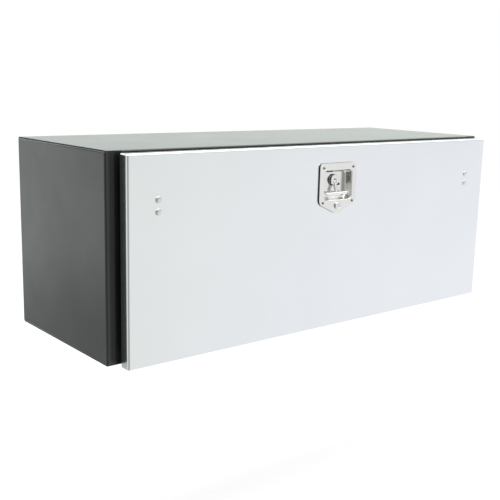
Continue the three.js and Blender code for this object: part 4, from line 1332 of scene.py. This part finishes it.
def make_floor_material():
    material = bpy.data.materials.new("pale_floor")
    material.use_nodes = True
    tree = material.node_tree
    tree.nodes.clear()
    place = add_node(tree, "TexCoord", {}).outputs["Object"]
    path = add_node(tree, "LightPath", {})
    ray = add_node(tree, "VectorMath", {0: place, 1: MIRRORED_FROM}, operation="SUBTRACT").outputs[0]
    direction = add_node(tree, "VectorMath", {0: ray}, operation="NORMALIZE").outputs[0]
    # Painted shade: the floor seen in reflections is darker close behind the box's left end.
    away = add_node(tree, "VectorMath", {0: place, 1: SHADE_CENTRE}, operation="DISTANCE")
    painted_floor_shade = spread(tree, away.outputs["Value"], SHADE_LEVEL, 1.0, start=0, end=SHADE_REACH, curve="SMOOTHSTEP")
    reflected = add_node(tree, "Emission", {
        "Strength": times(tree, room_brightness(tree, direction), painted_floor_shade),
        "Color": room_color(tree, direction),
    })
    paint = add_node(tree, "BsdfDiffuse", {"Color": PAINT})
    lift = add_node(tree, "Emission", {"Color": LIFT, "Strength": path.outputs["Is Camera Ray"]})
    lit = add_node(tree, "AddShader", {0: paint.outputs[0], 1: lift.outputs[0]})
    surface = mixed(tree, path.outputs["Is Glossy Ray"], lit.outputs[0], reflected.outputs[0])
    add_node(tree, "OutputMaterial", {"Surface": surface})
    return material


def make_floor():
    bm = bmesh.new()
    bmesh.ops.create_grid(bm, x_segments=1, y_segments=1, size=FLOOR_SIZE)
    bm.transform(Matrix.Translation((0, 0, -FLOOR_DROP)))
    mesh = bpy.data.meshes.new("floor")
    bm.to_mesh(mesh)
    bm.free()
    mesh.materials.append(make_floor_material())
    floor = bpy.data.objects.new("floor", mesh)
    bpy.context.scene.collection.objects.link(floor)


make_floor()
print("floor", round(FLOOR_DROP / MM), "mm below the box")

# %% [markdown]
# The sky has three parts: plain white for the camera, the room's brightness for reflections, and
# a dimmer even light for the rest, so that the lamps still model the form. Two soft boxes do
# that: a wide one overhead and one in front.

# %% Sky and lamps
EVEN_LIGHT = 0.45
WALL_LEVEL = 0.8
CEILING_LEVEL = 3.0
LAMP_TARGET = Vector((0, 0, 0.2))


def make_sky():
    world = bpy.data.worlds.new("studio")
    bpy.context.scene.world = world
    world.use_nodes = True
    tree = world.node_tree
    tree.nodes.clear()
    path = add_node(tree, "LightPath", {}).outputs
    direction = add_node(tree, "TexCoord", {}).outputs["Generated"]
    height = part_of(tree, direction, "Z")
    ceiling = spread(tree, height, WALL_LEVEL, CEILING_LEVEL, start=0.3, end=0.9, curve="SMOOTHSTEP")
    brightness = times(tree, room_brightness(tree, direction), ceiling)
    white = (1, 1, 1, 1)
    lights = ((white, EVEN_LIGHT), (white, 1.0), (room_color(tree, direction), brightness))
    even, backdrop, reflected = [
        add_node(tree, "Background", {"Color": color, "Strength": strength}).outputs[0]
        for color, strength in lights
    ]
    surface = mixed(tree, path["Is Camera Ray"], even, backdrop)
    surface = mixed(tree, path["Is Glossy Ray"], surface, reflected)
    surface = mixed(tree, path["Is Transmission Ray"], surface, backdrop)
    add_node(tree, "OutputWorld", {"Surface": surface})


def make_lamp(name, place, size, power):
    data = bpy.data.lights.new(name, "AREA")
    data.shape = "SQUARE"
    data.size = size
    data.energy = power
    lamp = bpy.data.objects.new(name, data)
    lamp.location = place
    lamp.rotation_euler = (LAMP_TARGET - Vector(place)).to_track_quat("-Z", "Y").to_euler()
    lamp.visible_glossy = False
    bpy.context.scene.collection.objects.link(lamp)
    print(name, power, "W")


make_sky()
make_lamp("overhead_softbox", (0, -0.4, 3.2), 3.0, 60)
make_lamp("front_softbox", (1.6, -3.4, 1.8), 2.0, 25)
bpy.context.scene.view_settings.view_transform = "Standard"
